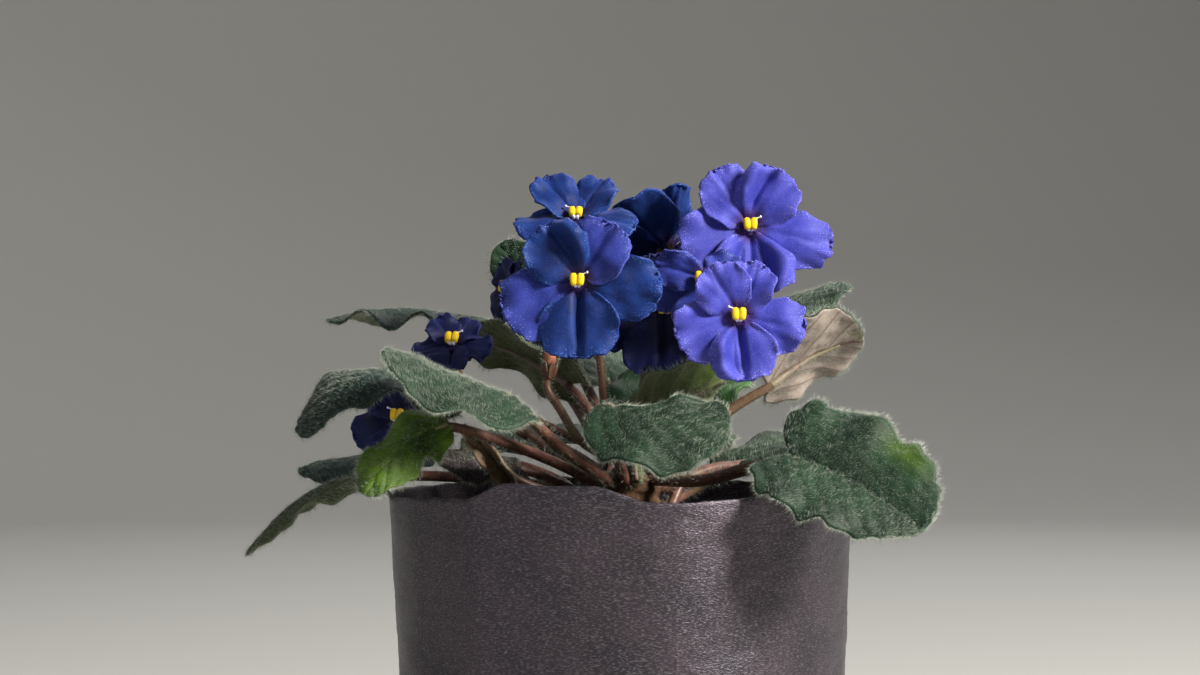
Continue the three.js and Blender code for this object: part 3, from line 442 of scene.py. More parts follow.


# %% [markdown]
# ## Leaves, read off the photograph
# Each entry gives a leaf: the angle and height where its stalk leaves the crown, the stalk's way, the rib's
# base, middle and tip, where its upper face looks, its widths, folds and curls to the left and right, and
# its wave's height, count and start. Ribs and stalks are nearly all the solids' own, so that little has to
# be fitted, and some outlines are drawn closer to the photograph. bulge moves the widest place, lobe and
# cleft shape the lobes at the stalk, point sharpens the tip, and rows and tooth are the teeth. slant and
# spacing set its side veins. skin and under name its two faces, and the glow entry places a patch of
# painted light shining through, as shares along and across and a size.

# %% The table of leaves
CROWN_X, CROWN_Y = 4, 2
CROWN_RADIUS, ROOT_RADIUS, CROWN_TOP = 7.5, 6.3, 122.5
BLADE_THICKNESS = 0.8
LEAF = dict(bulge=0.72, lobe=0.42, sweep=0.3, rows=8, tooth=0.03, thick=1.9, slant=0.5, skin="deep", under="green",
            spacing=6.5, painted_glow=(0, 0, 0.01), near=False)
LEAVES = {
    "leaf_right_low": dict(
        root=(-42, 118), stalk=[(22, -18, 118.5), (37, -40, 123.5)],
        rib=[(45.5, -49, 126.5), (61, -58, 119.5), (78, -68, 108)], face=(0.1, -0.8, 0.6),
        width=(20, 20), fold=(18, 22), curl=(-20, -20), wave=(1.9, 2.6, 0.36), lobe=(0.34, 0.3), cleft=0.7,
        tooth=0.045, thick=2.2, skin="velvet", painted_glow=(0.6, -0.85, 0.13), near=True),
    "leaf_left_front": dict(
        root=(-140, 118), stalk=[(-4.5, -10, 119), (-17, -26, 128.5)],
        rib=[(-29, -40, 142), (-44, -50, 147.5), (-63, -54, 154.5)], face=(0.15, -0.35, 0.93),
        width=(18, 20), fold=(-6, -12), curl=(-15, -15), wave=(1.8, 2.4, 0.1), bulge=(0.95, 0.72), point=0.45,
        thick=2.1, skin="velvet", near=True),
    "leaf_left_low": dict(
        root=(-160, 114), stalk=[(-8, -5, 117.5), (-27, -24, 127.5)],
        rib=[(-46, -42, 135), (-58, -50, 129.5), (-67, -56, 116.5)], face=(-0.45, -0.8, 0.4),
        width=(8, 10), fold=(-30, -5), curl=(-20, -20), wave=(2.4, 2, 0.4), lobe=0.1, rows=5, tooth=0.06,
        skin="yellow", painted_glow=(0.9, 0.3, 0.35), near=True),
    "leaf_left_middle": dict(
        root=(160, 114), stalk=[(-17, 2, 124), (-35, -9, 136)],
        rib=[(-50, -20, 142.5), (-71, -28, 147.5), (-87, -31, 131)], face=(-0.15, -0.3, 0.94),
        width=(12, 20), fold=(-5, -5), curl=(-25, -15), wave=(2, 2, 0.6), skin="teal", near=True),
    "leaf_left_drooping": dict(
        root=(172, 109), stalk=[(-20, 3.5, 115.5), (-50, 5, 118.5), (-62, 5, 118.5)],
        rib=[(-70, 5, 118), (-88, 8, 114), (-107, 12, 96)], face=(-0.4, -0.1, 0.9),
        width=(9, 10), fold=(-12, -10), curl=(-20, -20), wave=(1.5, 2, 0.2), rows=6, tooth=0.07, skin="olive",
        near=True),
    "leaf_back_left_high": dict(
        root=(122, 115), stalk=[(-4, 17, 122), (-17, 30, 144)],
        rib=[(-35, 36, 159), (-60, 43, 166), (-87, 48, 163)], face=(0, -0.12, 1),
        width=(18, 18), fold=(4, -6), curl=(-15, -20), wave=(3.5, 2.6, 0.3), skin="teal"),
    "leaf_left_high": dict(
        root=(-178, 118), stalk=[(-4, 3, 125), (-8, 8, 136)],
        rib=[(-14, 11, 145), (-32, 13, 155), (-53, 14, 161)], face=(0.3, 0.5, 0.8),
        width=(14, 13), fold=(0, 10), curl=(-20, -20), wave=(2, 2, 0.1), skin="olive", near=True),
    "leaf_back_left_upright": dict(
        root=(144, 118), stalk=[(-4, 13, 131), (-9, 20, 143)],
        rib=[(-16, 26, 156), (-26, 33, 171), (-35, 38, 186)], face=(-0.2, -0.9, 0.2),
        width=(9, 10), fold=(10, 10), curl=(-20, -20), wave=(1.5, 2, 0.3), rows=6),
    "leaf_right_high": dict(
        root=(6, 115.5), stalk=[(18, 4, 124), (31, 6, 137)],
        rib=[(42, 8, 144.5), (56, 13, 153.5), (70, 14, 157.5)], face=(-0.4, 0.6, 0.7),
        width=(12, 15), fold=(5, 5), curl=(-25, 20), wave=(1.5, 2, 0.3), lobe=0.2, slant=0.7, spacing=10,
        painted_glow=(1.02, 0.4, 0.14), under="pink", near=True),
    "leaf_front": dict(
        root=(-104, 118), stalk=[(0.5, -9, 121), (-3, -24, 130)],
        rib=[(-4, -36, 140.5), (8, -44.5, 136.8), (29, -46, 134.5)], face=(0.1, -0.5, 0.85),
        width=(10, 17), fold=(22, -16), curl=(-15, -15), wave=(1.9, 2.4, 0.7), lobe=(0, 0), bulge=(3.2, 0.88),
        skin="velvet", near=True),
    "leaf_left_under": dict(
        root=(150, 105.4), stalk=[(-17, 19, 116.5), (-40, 26, 123.5)],
        rib=[(-57, 27, 125), (-75, 29, 123), (-94, 29, 119)], face=(0, -0.2, 1),
        width=(14, 14), fold=(-5, -5), curl=(-20, -20), wave=(1.5, 2, 0.2), thick=1.7, rows=6, skin="teal"),
    "leaf_left_withered": dict(
        root=(-150, 109), stalk=[(-9, -4, 113), (-21, -8, 119)],
        rib=[(-29, -10, 122.5), (-39, -15, 124.5), (-50, -20, 123.5)], face=(0, -0.45, 0.9),
        width=(11, 11), fold=(0, -5), curl=(-30, -30), wave=(1.2, 2, 0.2), thick=1.7, rows=6,
        skin="withered", under="dull", near=True),
    "leaf_left_folded": dict(
        root=(-112, 110), stalk=[(-6, -10, 113.5), (-20, -18, 115.5)],
        rib=[(-30, -23, 119.5), (-36, -27, 127), (-43, -29, 134)], face=(-0.5, -0.7, 0.3),
        width=(4.5, 4.5), fold=(50, 50), curl=(0, 0), wave=(0.6, 2, 0.2), thick=1.6, rows=5,
        skin="tan", under="dull"),
    "leaf_front_right_folded": dict(
        root=(-4, 119), stalk=[(10, -6, 124), (8.5, -12, 130.5)],
        rib=[(9, -16, 134.5), (17.5, -20, 141), (29, -19, 146.5)], face=(-0.3, 0.6, 0.7),
        width=(11, 11), fold=(20, 20), curl=(-10, 20), wave=(1.2, 2, 0.2), thick=1.7, rows=6,
        skin="bright", painted_glow=(0.9, 0.5, 0.3), near=True),
    "leaf_behind_flowers": dict(
        root=(78, 118), stalk=[(8, 13, 126)],
        rib=[(9, 18, 132), (12, 28, 141), (17, 38, 148)], face=(0, -0.7, 0.7),
        width=(15, 12), fold=(10, 10), curl=(-15, -15), wave=(1.5, 2, 0.5), rows=6),
    "leaf_back_right_high": dict(
        root=(40, 118), stalk=[(17, 12, 131), (28, 20, 147)],
        rib=[(38, 26, 158), (52, 32, 168.5), (67, 38, 173.5)], face=(-0.3, -0.1, 0.9),
        width=(13, 14), fold=(5, -5), curl=(-15, -15), wave=(1.2, 2, 0.2), rows=6),
    "leaf_right_middle": dict(
        root=(-4, 109.3), stalk=[(18, 6, 117), (27, 14, 120.5)],
        rib=[(35, 20, 122), (50, 28, 128), (67, 34, 126)], face=(-0.1, -0.15, 1),
        width=(14, 14), fold=(5, 5), curl=(-15, -15), wave=(1.5, 2, 0.3), rows=7),
    "leaf_back_left_low": dict(
        root=(120, 109.5), stalk=[(-2, 22, 116), (-12, 36, 123)],
        rib=[(-20, 46, 127), (-30, 63, 130), (-39, 80, 122)], face=(-0.2, 0.2, 0.95),
        width=(20, 20), fold=(5, 5), curl=(-25, -25), wave=(1.8, 2, 0.3), rows=7),
    "leaf_back_low": dict(
        root=(80, 109), stalk=[(6, 20, 115), (9, 36, 122)],
        rib=[(11, 48, 126), (15, 66, 128), (18, 85, 119)], face=(0, 0.3, 0.95),
        width=(19, 21), fold=(6, 6), curl=(-25, -25), wave=(1.8, 2, 0.7), rows=7),
    "leaf_back_right_low": dict(
        root=(38, 109), stalk=[(17, 16, 112), (32, 32, 118)],
        rib=[(46, 44, 119.5), (58, 55, 121), (72, 66, 112)], face=(0.2, 0.1, 0.95),
        width=(19, 17), fold=(5, 5), curl=(-25, -25), wave=(1.8, 2, 0.2), rows=7),
    "leaf_back_right_inner": dict(
        root=(46, 114), stalk=[(12, 17, 120), (18, 26, 129)],
        rib=[(22, 34, 135), (27, 45, 143), (32, 57, 146)], face=(-0.3, -0.1, 0.9),
        width=(12, 14), fold=(6, 6), curl=(-20, -20), wave=(1.5, 2, 0.4), rows=6, skin="bright"),
    "leaf_back_inner": dict(
        root=(84, 114), stalk=[(1, 18, 124), (-1, 28, 138)],
        rib=[(-3, 36, 145), (-7, 50, 152), (-11, 64, 153)], face=(0.1, -0.2, 0.95),
        width=(12, 16), fold=(6, 6), curl=(-20, -20), wave=(1.5, 2, 0.4), rows=6),
    "leaf_young": dict(
        root=(-66, 119.5), stalk=[],
        rib=[(4.5, -8, 118.5), (3.8, -8.5, 124), (3, -7.5, 129)], face=(0, 1, 0.2),
        width=(2.6, 2.6), fold=(40, 40), curl=(0, 0), wave=(0, 1, 0), thick=1, rows=4, skin="olive", near=True),
}
print("Leaves:", len(LEAVES))

# %% [markdown]
# ## Veins and quilting
# Side veins leave the rib every 6 to 10 mm and bend towards the tip. The skin between them swells up a
# little, and smaller cross veins break each swelling into cells, so the blade looks quilted. The count
# of side veins is worked out once for each point, and serves both the swelling and the drawn lines.

# %% Vein lines in a flat blade
VEIN_BOW, SIDES_APART = 1.2, 0.5  # how a side vein bends, and how far left and right ones miss each other
QUILT_HEIGHT, CELL_HEIGHT, CELL_LENGTH = 0.5, 0.2, 3.1
ROW_SHIFT, LEAF_SHIFT = 0.37, 0.03  # shares of a cell, from one row of cells to the next, and from leaf to leaf
RIB_GROOVE, GROOVE_AT_BASE, GROOVE_LOSES = 0.35, 0.9, 0.5  # its depth, its width, and how much narrower it ends


def vein_count(blade, along, out):
    """A number that is whole on each side vein, and how far out each point is, from 0 to 1."""
    width = np.where(out < 0, *blade["width"])
    reach = np.clip(np.abs(out) / width, 0, 1)
    slanted = along - blade["slant"] * blade["length"] * reach ** VEIN_BOW
    slanted = slanted + SIDES_APART * blade["spacing"] * (out < 0)
    return slanted / blade["spacing"], reach


def quilting(blade, along, out, step, reach, seed):
    """How far each point stands up between the veins, in millimetres."""
    off = 2 * np.abs(step - np.round(step))
    swell = np.sin(np.pi * np.clip(off, 0, 1) / 2)
    cells = np.abs(out) / CELL_LENGTH + ROW_SHIFT * np.floor(step + 0.5) + LEAF_SHIFT * seed
    cross = np.sin(2 * np.pi * cells)
    groove = bell(out, 0, GROOVE_AT_BASE - GROOVE_LOSES * np.clip(along / blade["length"], 0, 1))
    return (QUILT_HEIGHT * (swell - 0.5) + CELL_HEIGHT * swell * cross) * (1 - reach ** 6) - RIB_GROOVE * groove


# %% [markdown]
# ## Hairs
# Hairs make this plant look soft. A particle system would be the usual way, but it isn't a mesh, so each
# hair is a slim three-sided spike of its own. They are drawn at random from a seeded source, more of them
# on the near leaves. Along the edge they stand out like a fringe, where the light catches them.

# %% Slim spikes from points and directions
NEARLY_UPRIGHT = 0.8  # a hair steeper than this is too near the Z axis to be crossed with it


def hair_mesh(name, roots, directions, lengths, radius):
    """One mesh of closed three-sided spikes."""
    directions = unit(directions)
    helper = np.where(np.abs(directions[:, 2:3]) < NEARLY_UPRIGHT, [[0.0, 0.0, 1.0]], [[1.0, 0.0, 0.0]])
    first = unit(np.cross(directions, helper))
    second = np.cross(directions, first)
    corners = []
    for turn in (0, 2 * np.pi / 3, 4 * np.pi / 3):
        corners.append(roots + radius * (math.cos(turn) * first + math.sin(turn) * second))
    corners.append(roots + directions * lengths[:, None])
    points = np.stack(corners, axis=1).reshape(-1, 3) * MM
    pattern = np.array([[0, 1, 3], [1, 2, 3], [2, 0, 3], [2, 1, 0]])
    faces = (pattern[None] + 4 * np.arange(len(roots))[:, None, None]).reshape(-1, 3)
    mesh = bpy.data.meshes.new(name)
    mesh.from_pydata(points.tolist(), [], faces.tolist())
    mesh.materials.append(HAIR)
    hairs = bpy.data.objects.new(name, mesh)
    bpy.context.collection.objects.link(hairs)
    return hairs


# %% Where a blade's and a stalk's hairs stand


def scattered(rng, points, density):
    """Random places on a grid of points, so many on each square millimetre: a row and a column for each."""
    across = np.diff(points, axis=1)[:-1]
    down = np.diff(points, axis=0)[:, :-1]
    area = np.linalg.norm(np.cross(across, down), axis=-1)
    count = int(area.sum() * density)
    picks = rng.choice(area.size, count, p=area.ravel() / area.sum())
    row, column = np.unravel_index(picks, area.shape)
    return row + rng.random(count), column + rng.random(count)


def between(values, row, column):
    """Values of a grid read between its points."""
    r, c = row.astype(int), column.astype(int)
    r1, c1 = np.minimum(r + 1, values.shape[0] - 1), np.minimum(c + 1, values.shape[1] - 1)
    fr, fc = (row - r)[:, None], (column - c)[:, None]
    near = values[r, c] * (1 - fc) + values[r, c1] * fc
    far = values[r1, c] * (1 - fc) + values[r1, c1] * fc
    return near * (1 - fr) + far * fr


# %% A blade's coat: hairs on a square millimetre of its upper and lower face, and on a millimetre of edge
HAIR_DENSITY = {"velvet": (3.2, 1.2), "near": (2.0, 1.0), "far": (0.7, 0.3)}
FRINGE = {"velvet": 11, "near": 8, "far": 3}
HAIR_RADIUS, FRINGE_RADIUS = 0.035, 0.048
HAIR_LENGTHS, FRINGE_LENGTHS = (0.8, 1.8), (1.2, 2.9)
HAIR_LEAN, FRINGE_LEAN, HAIR_DISORDER = (0.7, 0.4), 0.2, 0.3
FAR_HAIR_WIDTH = 1.2  # the few hairs of a far leaf are a little wider
HALF_SKIN, ROOT_SUNK = 0.45, 0.9  # a little less than half the thickness, so that a root lies inside the skin


def blade_hairs(name, rng, points, normals, coat, size):
    """Hairs on both faces, leaning towards the tip, and a fringe that stands out from both edges."""
    half = HALF_SKIN * BLADE_THICKNESS
    forward = unit(np.gradient(points, axis=0))
    pieces = []
    for face, density, lean in zip((1, -1), HAIR_DENSITY[coat], HAIR_LEAN):
        row, column = scattered(rng, points, density)
        up = between(normals, row, column) * face
        root = between(points, row, column) + up * half * ROOT_SUNK
        aim = up + lean * between(forward, row, column) + rng.normal(0, HAIR_DISORDER, root.shape)
        pieces.append((root, aim, rng.uniform(*HAIR_LENGTHS, len(root)), np.full((len(root), 1), HAIR_RADIUS)))
    for column, sign in ((0, -1), (points.shape[1] - 1, 1)):
        edge = points[:, column]
        total = path_lengths(edge)
        number = int(total[-1] * FRINGE[coat])
        at = rng.random(number) * total[-1]
        root = read_along(edge, total, at)
        row = np.clip(np.interp(at, total, np.arange(len(edge))), 0, len(edge) - 1).astype(int)
        outward = unit(points[row, column] - points[row, column - sign * 3])
        aim = outward + FRINGE_LEAN * forward[row, column] + rng.normal(0, HAIR_DISORDER, root.shape)
        pieces.append((root, aim, rng.uniform(*FRINGE_LENGTHS, number), np.full((number, 1), FRINGE_RADIUS)))
    roots, aims, lengths, radii = [np.concatenate(group) for group in zip(*pieces)]
    return hair_mesh(name, roots, aims, lengths * (0.5 + 0.5 * size), radii * (FAR_HAIR_WIDTH if coat == "far" else 1))


# %% A stalk's coat
STALK_HAIR_LEAN, STALK_DISORDER = 0.25, 0.2
SUNK_ROOT, SHORTEST = 0.95, 0.4  # shares of the stalk's radius and of the longest hair


def stalk_hairs(name, rng, path, radii, density, longest):
    """Hairs round a stalk, so many on each millimetre of its length."""
    total = path_lengths(path)
    number = int(total[-1] * density)
    at = rng.random(number) * total[-1]
    root = read_along(path, total, at)
    tangent = unit(read_along(np.gradient(path, axis=0), total, at))
    outward = rng.normal(0, 1, root.shape)
    outward = unit(outward - tangent * np.sum(outward * tangent, axis=1, keepdims=True))
    root = root + outward * (np.interp(at, total, radii) * SUNK_ROOT)[:, None]
    aim = outward + STALK_HAIR_LEAN * tangent + rng.normal(0, STALK_DISORDER, root.shape)
    return hair_mesh(name, root, aim, rng.uniform(SHORTEST * longest, longest, number), FRINGE_RADIUS)


# %% [markdown]
# ## Making the leaves
# A leaf is its blade, its stalk and its hairs, joined into one piece, because they grew as one. The
# blade's sheet is given its thickness last, and its lower face takes the paler material.

# %% A leaf's stalk, from its entry in the table


def crown_point(root, radius):
    """Where a stalk meets the crown, or lies this far from its middle."""
    turn = math.radians(root[0])
    return (CROWN_X + radius * math.cos(turn), CROWN_Y + radius * math.sin(turn), root[1])


def full_leaf(numbers):
    blade = {**LEAF, **numbers}
    blade["curve"], blade["length"] = rib_curve(blade["rib"])
    return blade


# For a stalk 2 mm in radius: a share of the blade, how deep the rib's middle lies there, and its radius
UNDER_BLADE = ((0.02, 1.1, 1.7), (0.2, 1.25, 1.2), (0.45, 0.95, 0.8), (0.75, 0.6, 0.45))
SKIN_SHARE = 0.8  # a stalk's skin lies inside the solid's, and its hairs fill the rest


def leaf_stalk_path(blade):
    """The stalk's way and radii, from the crown, and on under the blade, and where on it the blade's rib starts."""
    points = [crown_point(blade["root"], ROOT_RADIUS)]
    if blade["stalk"]:
        points += [crown_point(blade["root"], CROWN_RADIUS + 2), *blade["stalk"]]
    radii = [blade["thick"]] * len(points)
    start = PER_SPAN * len(points)
    for share, depth, radius in UNDER_BLADE:
        point, _, up = rib_frame(blade["curve"], np.array([share]), blade["face"])
        points.append(point[0] - up[0] * depth * blade["thick"] / 2)
        radii.append(radius * blade["thick"] / 2)
    path = smooth_path(points)
    return path, SKIN_SHARE * np.interp(np.arange(len(path)) / PER_SPAN, np.arange(len(radii)), radii), start


# %% The whole leaf
LEAF_SEED = 100
NEAR_GRID, FAR_GRID = (60, 40), (36, 24)
YOUNG_LENGTH, YOUNG_QUILT, YOUNG_HAIR = 15, 0.2, 0.7
RIM_FROM, TIP_FROM = 0.9, 0.97  # where the pale rim starts, as shares of the way out and along
# How strong the painted glow of light shining through the blade is
PAINTED_GLOW_SHARE = 0.55
NEAR_STALK_HAIRS, FAR_STALK_HAIRS, LONGEST_STALK_HAIR = 9, 4, 2.8


def make_leaf(node, numbers, order):
    blade = full_leaf(numbers)
    rng = np.random.default_rng(LEAF_SEED + order)
    small = blade["length"] < YOUNG_LENGTH
    coat = "velvet" if blade["skin"] == "velvet" or small else "near" if blade["near"] else "far"
    u, v, along, out = flat_grid(blade, *(NEAR_GRID if blade["near"] else FAR_GRID))
    points = bent(blade, along, out)
    step, reach = vein_count(blade, along, out)
    height = quilting(blade, along, out, step, reach, order)
    points = points + sheet_normals(points) * (height * (YOUNG_QUILT if small else 1))[..., None]
    # The pale edge: partly denser hairs, partly painted rim light
    edge = np.maximum(fade(np.abs(v), RIM_FROM, 1), fade(u, TIP_FROM, 1))
    # A painted glow of light shining through, from the leaf's glow entry
    lit_u, lit_v, size = blade["painted_glow"]
    painted_glow = PAINTED_GLOW_SHARE * np.exp(-((u - lit_u) ** 2 + 0.5 * (v - lit_v) ** 2) / size ** 2)
    sheet = grid_sheet(node + "_blade", points, {"step": step, "middle": np.abs(out), "edge": edge, "painted_glow": painted_glow})
    sheet.data.materials.append(SKINS[blade["skin"]])
    sheet.data.materials.append(UNDERSIDES[blade["under"]])
    merge_ends()
    thicken(sheet, BLADE_THICKNESS, under=1)
    path, radii, start = leaf_stalk_path(blade)
    stalk = tube(node + "_stalk", path[:start + 1], radii[:start + 1], LEAF_STALK)
    rib = tube(node + "_rib", path[start:], radii[start:], LEAF_RIB)
    normals = sheet_normals(points)
    hairs = blade_hairs(node + "_hairs", rng, points, normals, coat, YOUNG_HAIR if small else 1)
    density = NEAR_STALK_HAIRS if blade["near"] else FAR_STALK_HAIRS
    fringe = stalk_hairs(node + "_stalk_hairs", rng, path, radii, density, LONGEST_STALK_HAIR)
    leaf = joined(node + "_fine", [sheet, stalk, rib, hairs, fringe])
    settle(leaf, node)
    return len(leaf.data.polygons)


faces = sum(make_leaf(node, numbers, order) for order, (node, numbers) in enumerate(LEAVES.items()))
print("Leaves made:", len(LEAVES), "with", faces, "faces")

# %% [markdown]
# ## Petal skin
# A petal's cells are like tiny lenses, which is why it glitters; that glitter is painted as pale glints
# near its ruffled edge. It is violet in the light and a deeper blue away from it, and darker and redder
# at the throat. Four grounds are used: violet, and three darker copies of it painted as shade: blue violet,
# deep blue, and indigo for the blooms that hang in the shade. Its darker streaks and pleat valleys are painted shade
# too.

# %% Petal finish
PETAL_SHEEN = "#b7b0ff"


def petal_skin(name, deep, body, pale, throat, glint):
    material, tree, shader = finish(
        name, Roughness=0.58, Sheen_Weight=0.14, Sheen_Roughness=0.4, Subsurface_Weight=0.08,
        Subsurface_Scale=0.8 * MM, Specular_IOR_Level=0.22)
    shader.inputs["Sheen Tint"].default_value = linear(PETAL_SHEEN)
    shader.inputs["Subsurface Radius"].default_value = (0.5, 0.4, 1.0)
    place = add(tree, "ShaderNodeTexCoord", give="Object")
    reach = add(tree, "ShaderNodeAttribute", give="Fac", attribute_name="reach")
    painted_groove_shade = add(tree, "ShaderNodeAttribute", give="Fac", attribute_name="painted_groove_shade")
    patches = add(tree, "ShaderNodeTexNoise", {"Vector": place, "Scale": per_mm(5), "Detail": 4.0}, "Fac")
    tone = add(tree, "ShaderNodeMapRange", {"Value": patches, "From Min": 0.32, "From Max": 0.6}, "Result")
    ground = add(tree, "ShaderNodeMix", {FACTOR: tone, FIRST: linear(deep), SECOND: linear(body)}, MIXED, **COLOURS)
    edge = add(tree, "ShaderNodeAttribute", give="Fac", attribute_name="edge")
    outer = add(tree, "ShaderNodeMapRange", {"Value": edge, "From Min": 0.2, "From Max": 1.0, "To Max": 0.5}, "Result")
    inner = add(tree, "ShaderNodeMapRange", {"Value": reach, "From Min": 0.3, "From Max": 0.14}, "Result")
    # Pale glints near the rim are painted highlights, for the glitter of the petal's cells
    spots = add(tree, "ShaderNodeTexVoronoi", {"Vector": place, "Scale": per_mm(0.6)}, "Distance")
    glint_cells = add(tree, "ShaderNodeMapRange", {"Value": spots, "From Min": 0.3, "From Max": 0.14}, "Result")
    rim = add(tree, "ShaderNodeMapRange", {
        "Value": edge, "From Min": 0.5, "From Max": 0.95, "To Min": 0.12, "To Max": 0.8}, "Result")
    painted_glints = add(tree, "ShaderNodeMath", {0: glint_cells, 1: rim}, "Value", operation="MULTIPLY")
    # Painted shade darkens the streaks and pleat valleys, and painted glints lighten the rim
    for share, colour in ((outer, pale), (painted_groove_shade, deep), (inner, throat), (painted_glints, glint)):
        ground = add(tree, "ShaderNodeMix", {FACTOR: share, FIRST: ground, SECOND: linear(colour)}, MIXED, **COLOURS)
    tree.links.new(ground, shader.inputs["Base Color"])
    cells = add(tree, "ShaderNodeTexNoise", {"Vector": place, "Scale": per_mm(0.4), "Detail": 1.0}, "Fac")
    grain = add(tree, "ShaderNodeBump", {"Height": cells, "Strength": 0.35, "Distance": 0.12 * MM}, "Normal")
    tree.links.new(grain, shader.inputs["Normal"])
    return material


# %% The petal skins: deep tone and painted shade, body, pale edge, throat and painted glints, and the skins of anthers and style
PETAL_SKINS = {
    "violet": petal_skin("petal_violet", "#2d3292", "#4144aa", "#6464ca", "#361c58", "#bcbcf0"),
    # These three grounds are the violet darkened as painted shade
    "blue_violet": petal_skin("petal_blue_violet_painted_shade", "#1d2a78", "#2e3a92", "#4651ae", "#2d1a52", "#a2aae6"),
    "blue": petal_skin("petal_deep_blue_painted_shade", "#071b52", "#0e2c6e", "#1e4392", "#1a1142", "#7c8ace"),
    "indigo": petal_skin("petal_indigo_painted_deep_shade", "#080d30", "#0f1644", "#1b2766", "#160b36", "#525c98"),
}
# Pollen sacs have a waxy coat, which gives a soft gloss. The style is smooth, pale and a little wet
ANTHER_SKIN = two_tone("anther_waxy_yellow", "#f0b400", "#ffe414", 1.2, Roughness=0.4, Subsurface_Weight=0.1,
                       Subsurface_Scale=1.0 * MM)
STYLE_SKIN = two_tone("style_white_violet", "#cfc4ea", "#f7f5fa", 2, Roughness=0.45)
print("Petal skins:", len(PETAL_SKINS))

# %% [markdown]
# ## Blooms, read off the photograph
# middle is where a bloom's petals meet, face is where it looks, and size is its share of the full size.
# A bloom has two small upper petals and three larger lower ones, and petals says what sets some of them
# apart. fold, curl and pleat are given for a petal's left and right half, seen from the bloom's middle.

# %% The table of petals, clockwise from the top, and the table of blooms
BLOOM_RADIUS = 20
PETAL_THICKNESS = 0.6
PETALS = [
    dict(turn=33, length=0.88, width=0.43, lift=9, fold=(-2, 14), curl=(-12, -16), bulge=1.4, lobe=0.22),
    dict(turn=102, length=1.03, width=0.47, lift=3, fold=(-5, -5), curl=(-14, -14), bulge=1.8, lobe=0.12),
    dict(turn=178, length=1.02, width=0.53, lift=5, fold=(6, 6), curl=(-12, -12), bulge=1.8, lobe=0.16, furrow=1.6),
    dict(turn=-112, length=1.04, width=0.48, lift=3, fold=(-5, -5), curl=(-14, -14), bulge=1.8, lobe=0.12),
    dict(turn=-36, length=0.88, width=0.45, lift=14, fold=(12, 8), curl=(-16, -12), bulge=1.4, lobe=0.22),
]
# A ground or petal skin other than violet is violet darkened as painted shade
BLOOMS = {
    # front_left's blue violet ground and its deep blue petals 1, 2 and 4 are painted shade
    "front_left": dict(
        middle=(-11.6, -32, 173.3), face=(-0.1, -0.98, 0.1), size=1.04, skin="blue_violet", near=True, petals={
            1: dict(turn=98, length=1.1, width=0.43, bulge=1.7, lift=6, skin="blue"),
            2: dict(furrow=2.2, skin="blue"),
            3: dict(turn=-117, length=1.06, lift=5),
            4: dict(length=0.83, width=0.44, pleat=(0, 3.4), skin="blue")}),
    "top_left": dict(
        middle=(-12.5, -4, 191.2), face=(0, -0.6, 0.8), size=0.84, skin="blue", near=True, petals={
            0: dict(length=0.95, width=0.42, lift=16),
            4: dict(length=0.95, width=0.42, lift=20)}),
    "top_right": dict(
        middle=(36.3, -3, 189.4), face=(0.1, -0.95, 0.15), size=1.05, skin="violet", near=True, petals={
            0: dict(turn=31, length=0.83, width=0.44, lift=14, fold=(8, 10), pleat=(3.4, 0)),
            1: dict(turn=106, length=1.16, width=0.4, bulge=1.5),
            2: dict(length=0.95, width=0.58, pleat=(2.8, 2.8)),
            3: dict(turn=-111, length=0.98, width=0.46, lift=7),
            4: dict(turn=-34, width=0.4, lift=9, fold=(10, -2))}),
    "front_right": dict(
        middle=(31.6, -36, 164), face=(0.05, -0.98, 0.1), size=0.92, skin="violet", near=True, petals={
            0: dict(turn=22, length=0.82, width=0.36),
            1: dict(turn=104, length=1, width=0.44),
            2: dict(turn=174, length=0.97, width=0.5, pleat=(0, 2.8), furrow=2.2),
            3: dict(turn=-114, length=0.98, width=0.47, lift=7),
            4: dict(turn=-32, length=0.81, width=0.42)}),
    "middle_right": dict(
        middle=(23.4, -18, 174.2), face=(-0.4, -0.88, 0.1), size=0.85, skin="blue_violet", near=True, petals={
            0: dict(turn=52, length=0.56, width=0.32, lift=-35),
            1: dict(turn=112, length=0.9),
            3: dict(turn=-104, length=1.02, width=0.42),
            4: dict(turn=-74, length=0.82, width=0.32, lift=18)}),
    "middle_low": dict(
        middle=(12.2, 4, 167.5), face=(0.2, -0.85, -0.45), size=1.05, skin="indigo", near=True, petals={
            0: dict(length=0.75)}),
    "left_high": dict(
        middle=(-46.8, -8, 156.2), face=(-0.1, -0.7, 0.7), size=0.55, skin="indigo", near=False, petals={}),
    "left_low": dict(
        middle=(-62.6, 6, 135), face=(-0.3, -0.85, 0.4), size=0.7, skin="indigo", near=False, petals={}),
    "left_shaded": dict(
        middle=(-31, 6, 171.8), face=(-0.85, -0.45, 0.25), size=0.52, skin="indigo", near=False, petals={}),
    "top_back": dict(
        middle=(13.5, 14, 184), face=(-0.1, 0.85, 0.5), size=1, skin="blue", near=False, petals={
            0: dict(turn=42, length=1, width=0.55, lift=0),
            1: dict(turn=98, length=1.05, width=0.5),
            4: dict(turn=-12, length=0.9, width=0.28, lift=18, fold=(30, 30))}),
}


def bloom_frame(bloom):
    """The bloom's middle, where it faces, and its up and right as seen from in front of it."""
    face = unit(np.array(bloom["face"], float))
    up = unit(np.array([0, 0, 1.0]) - face * face[2])
    return np.array(bloom["middle"], float), face, up, np.cross(up, face)


# %% [markdown]
# ## Petals
# Each petal is a blade like a leaf's, but its edge is notched and ruffled, and soft ridges fan out over it.
# Some halves stand forward in a rounded lobe with a valley beside it, and the lowest petal has a furrow
# down its middle. These are laid over the bent sheet, because the solids leave them out.

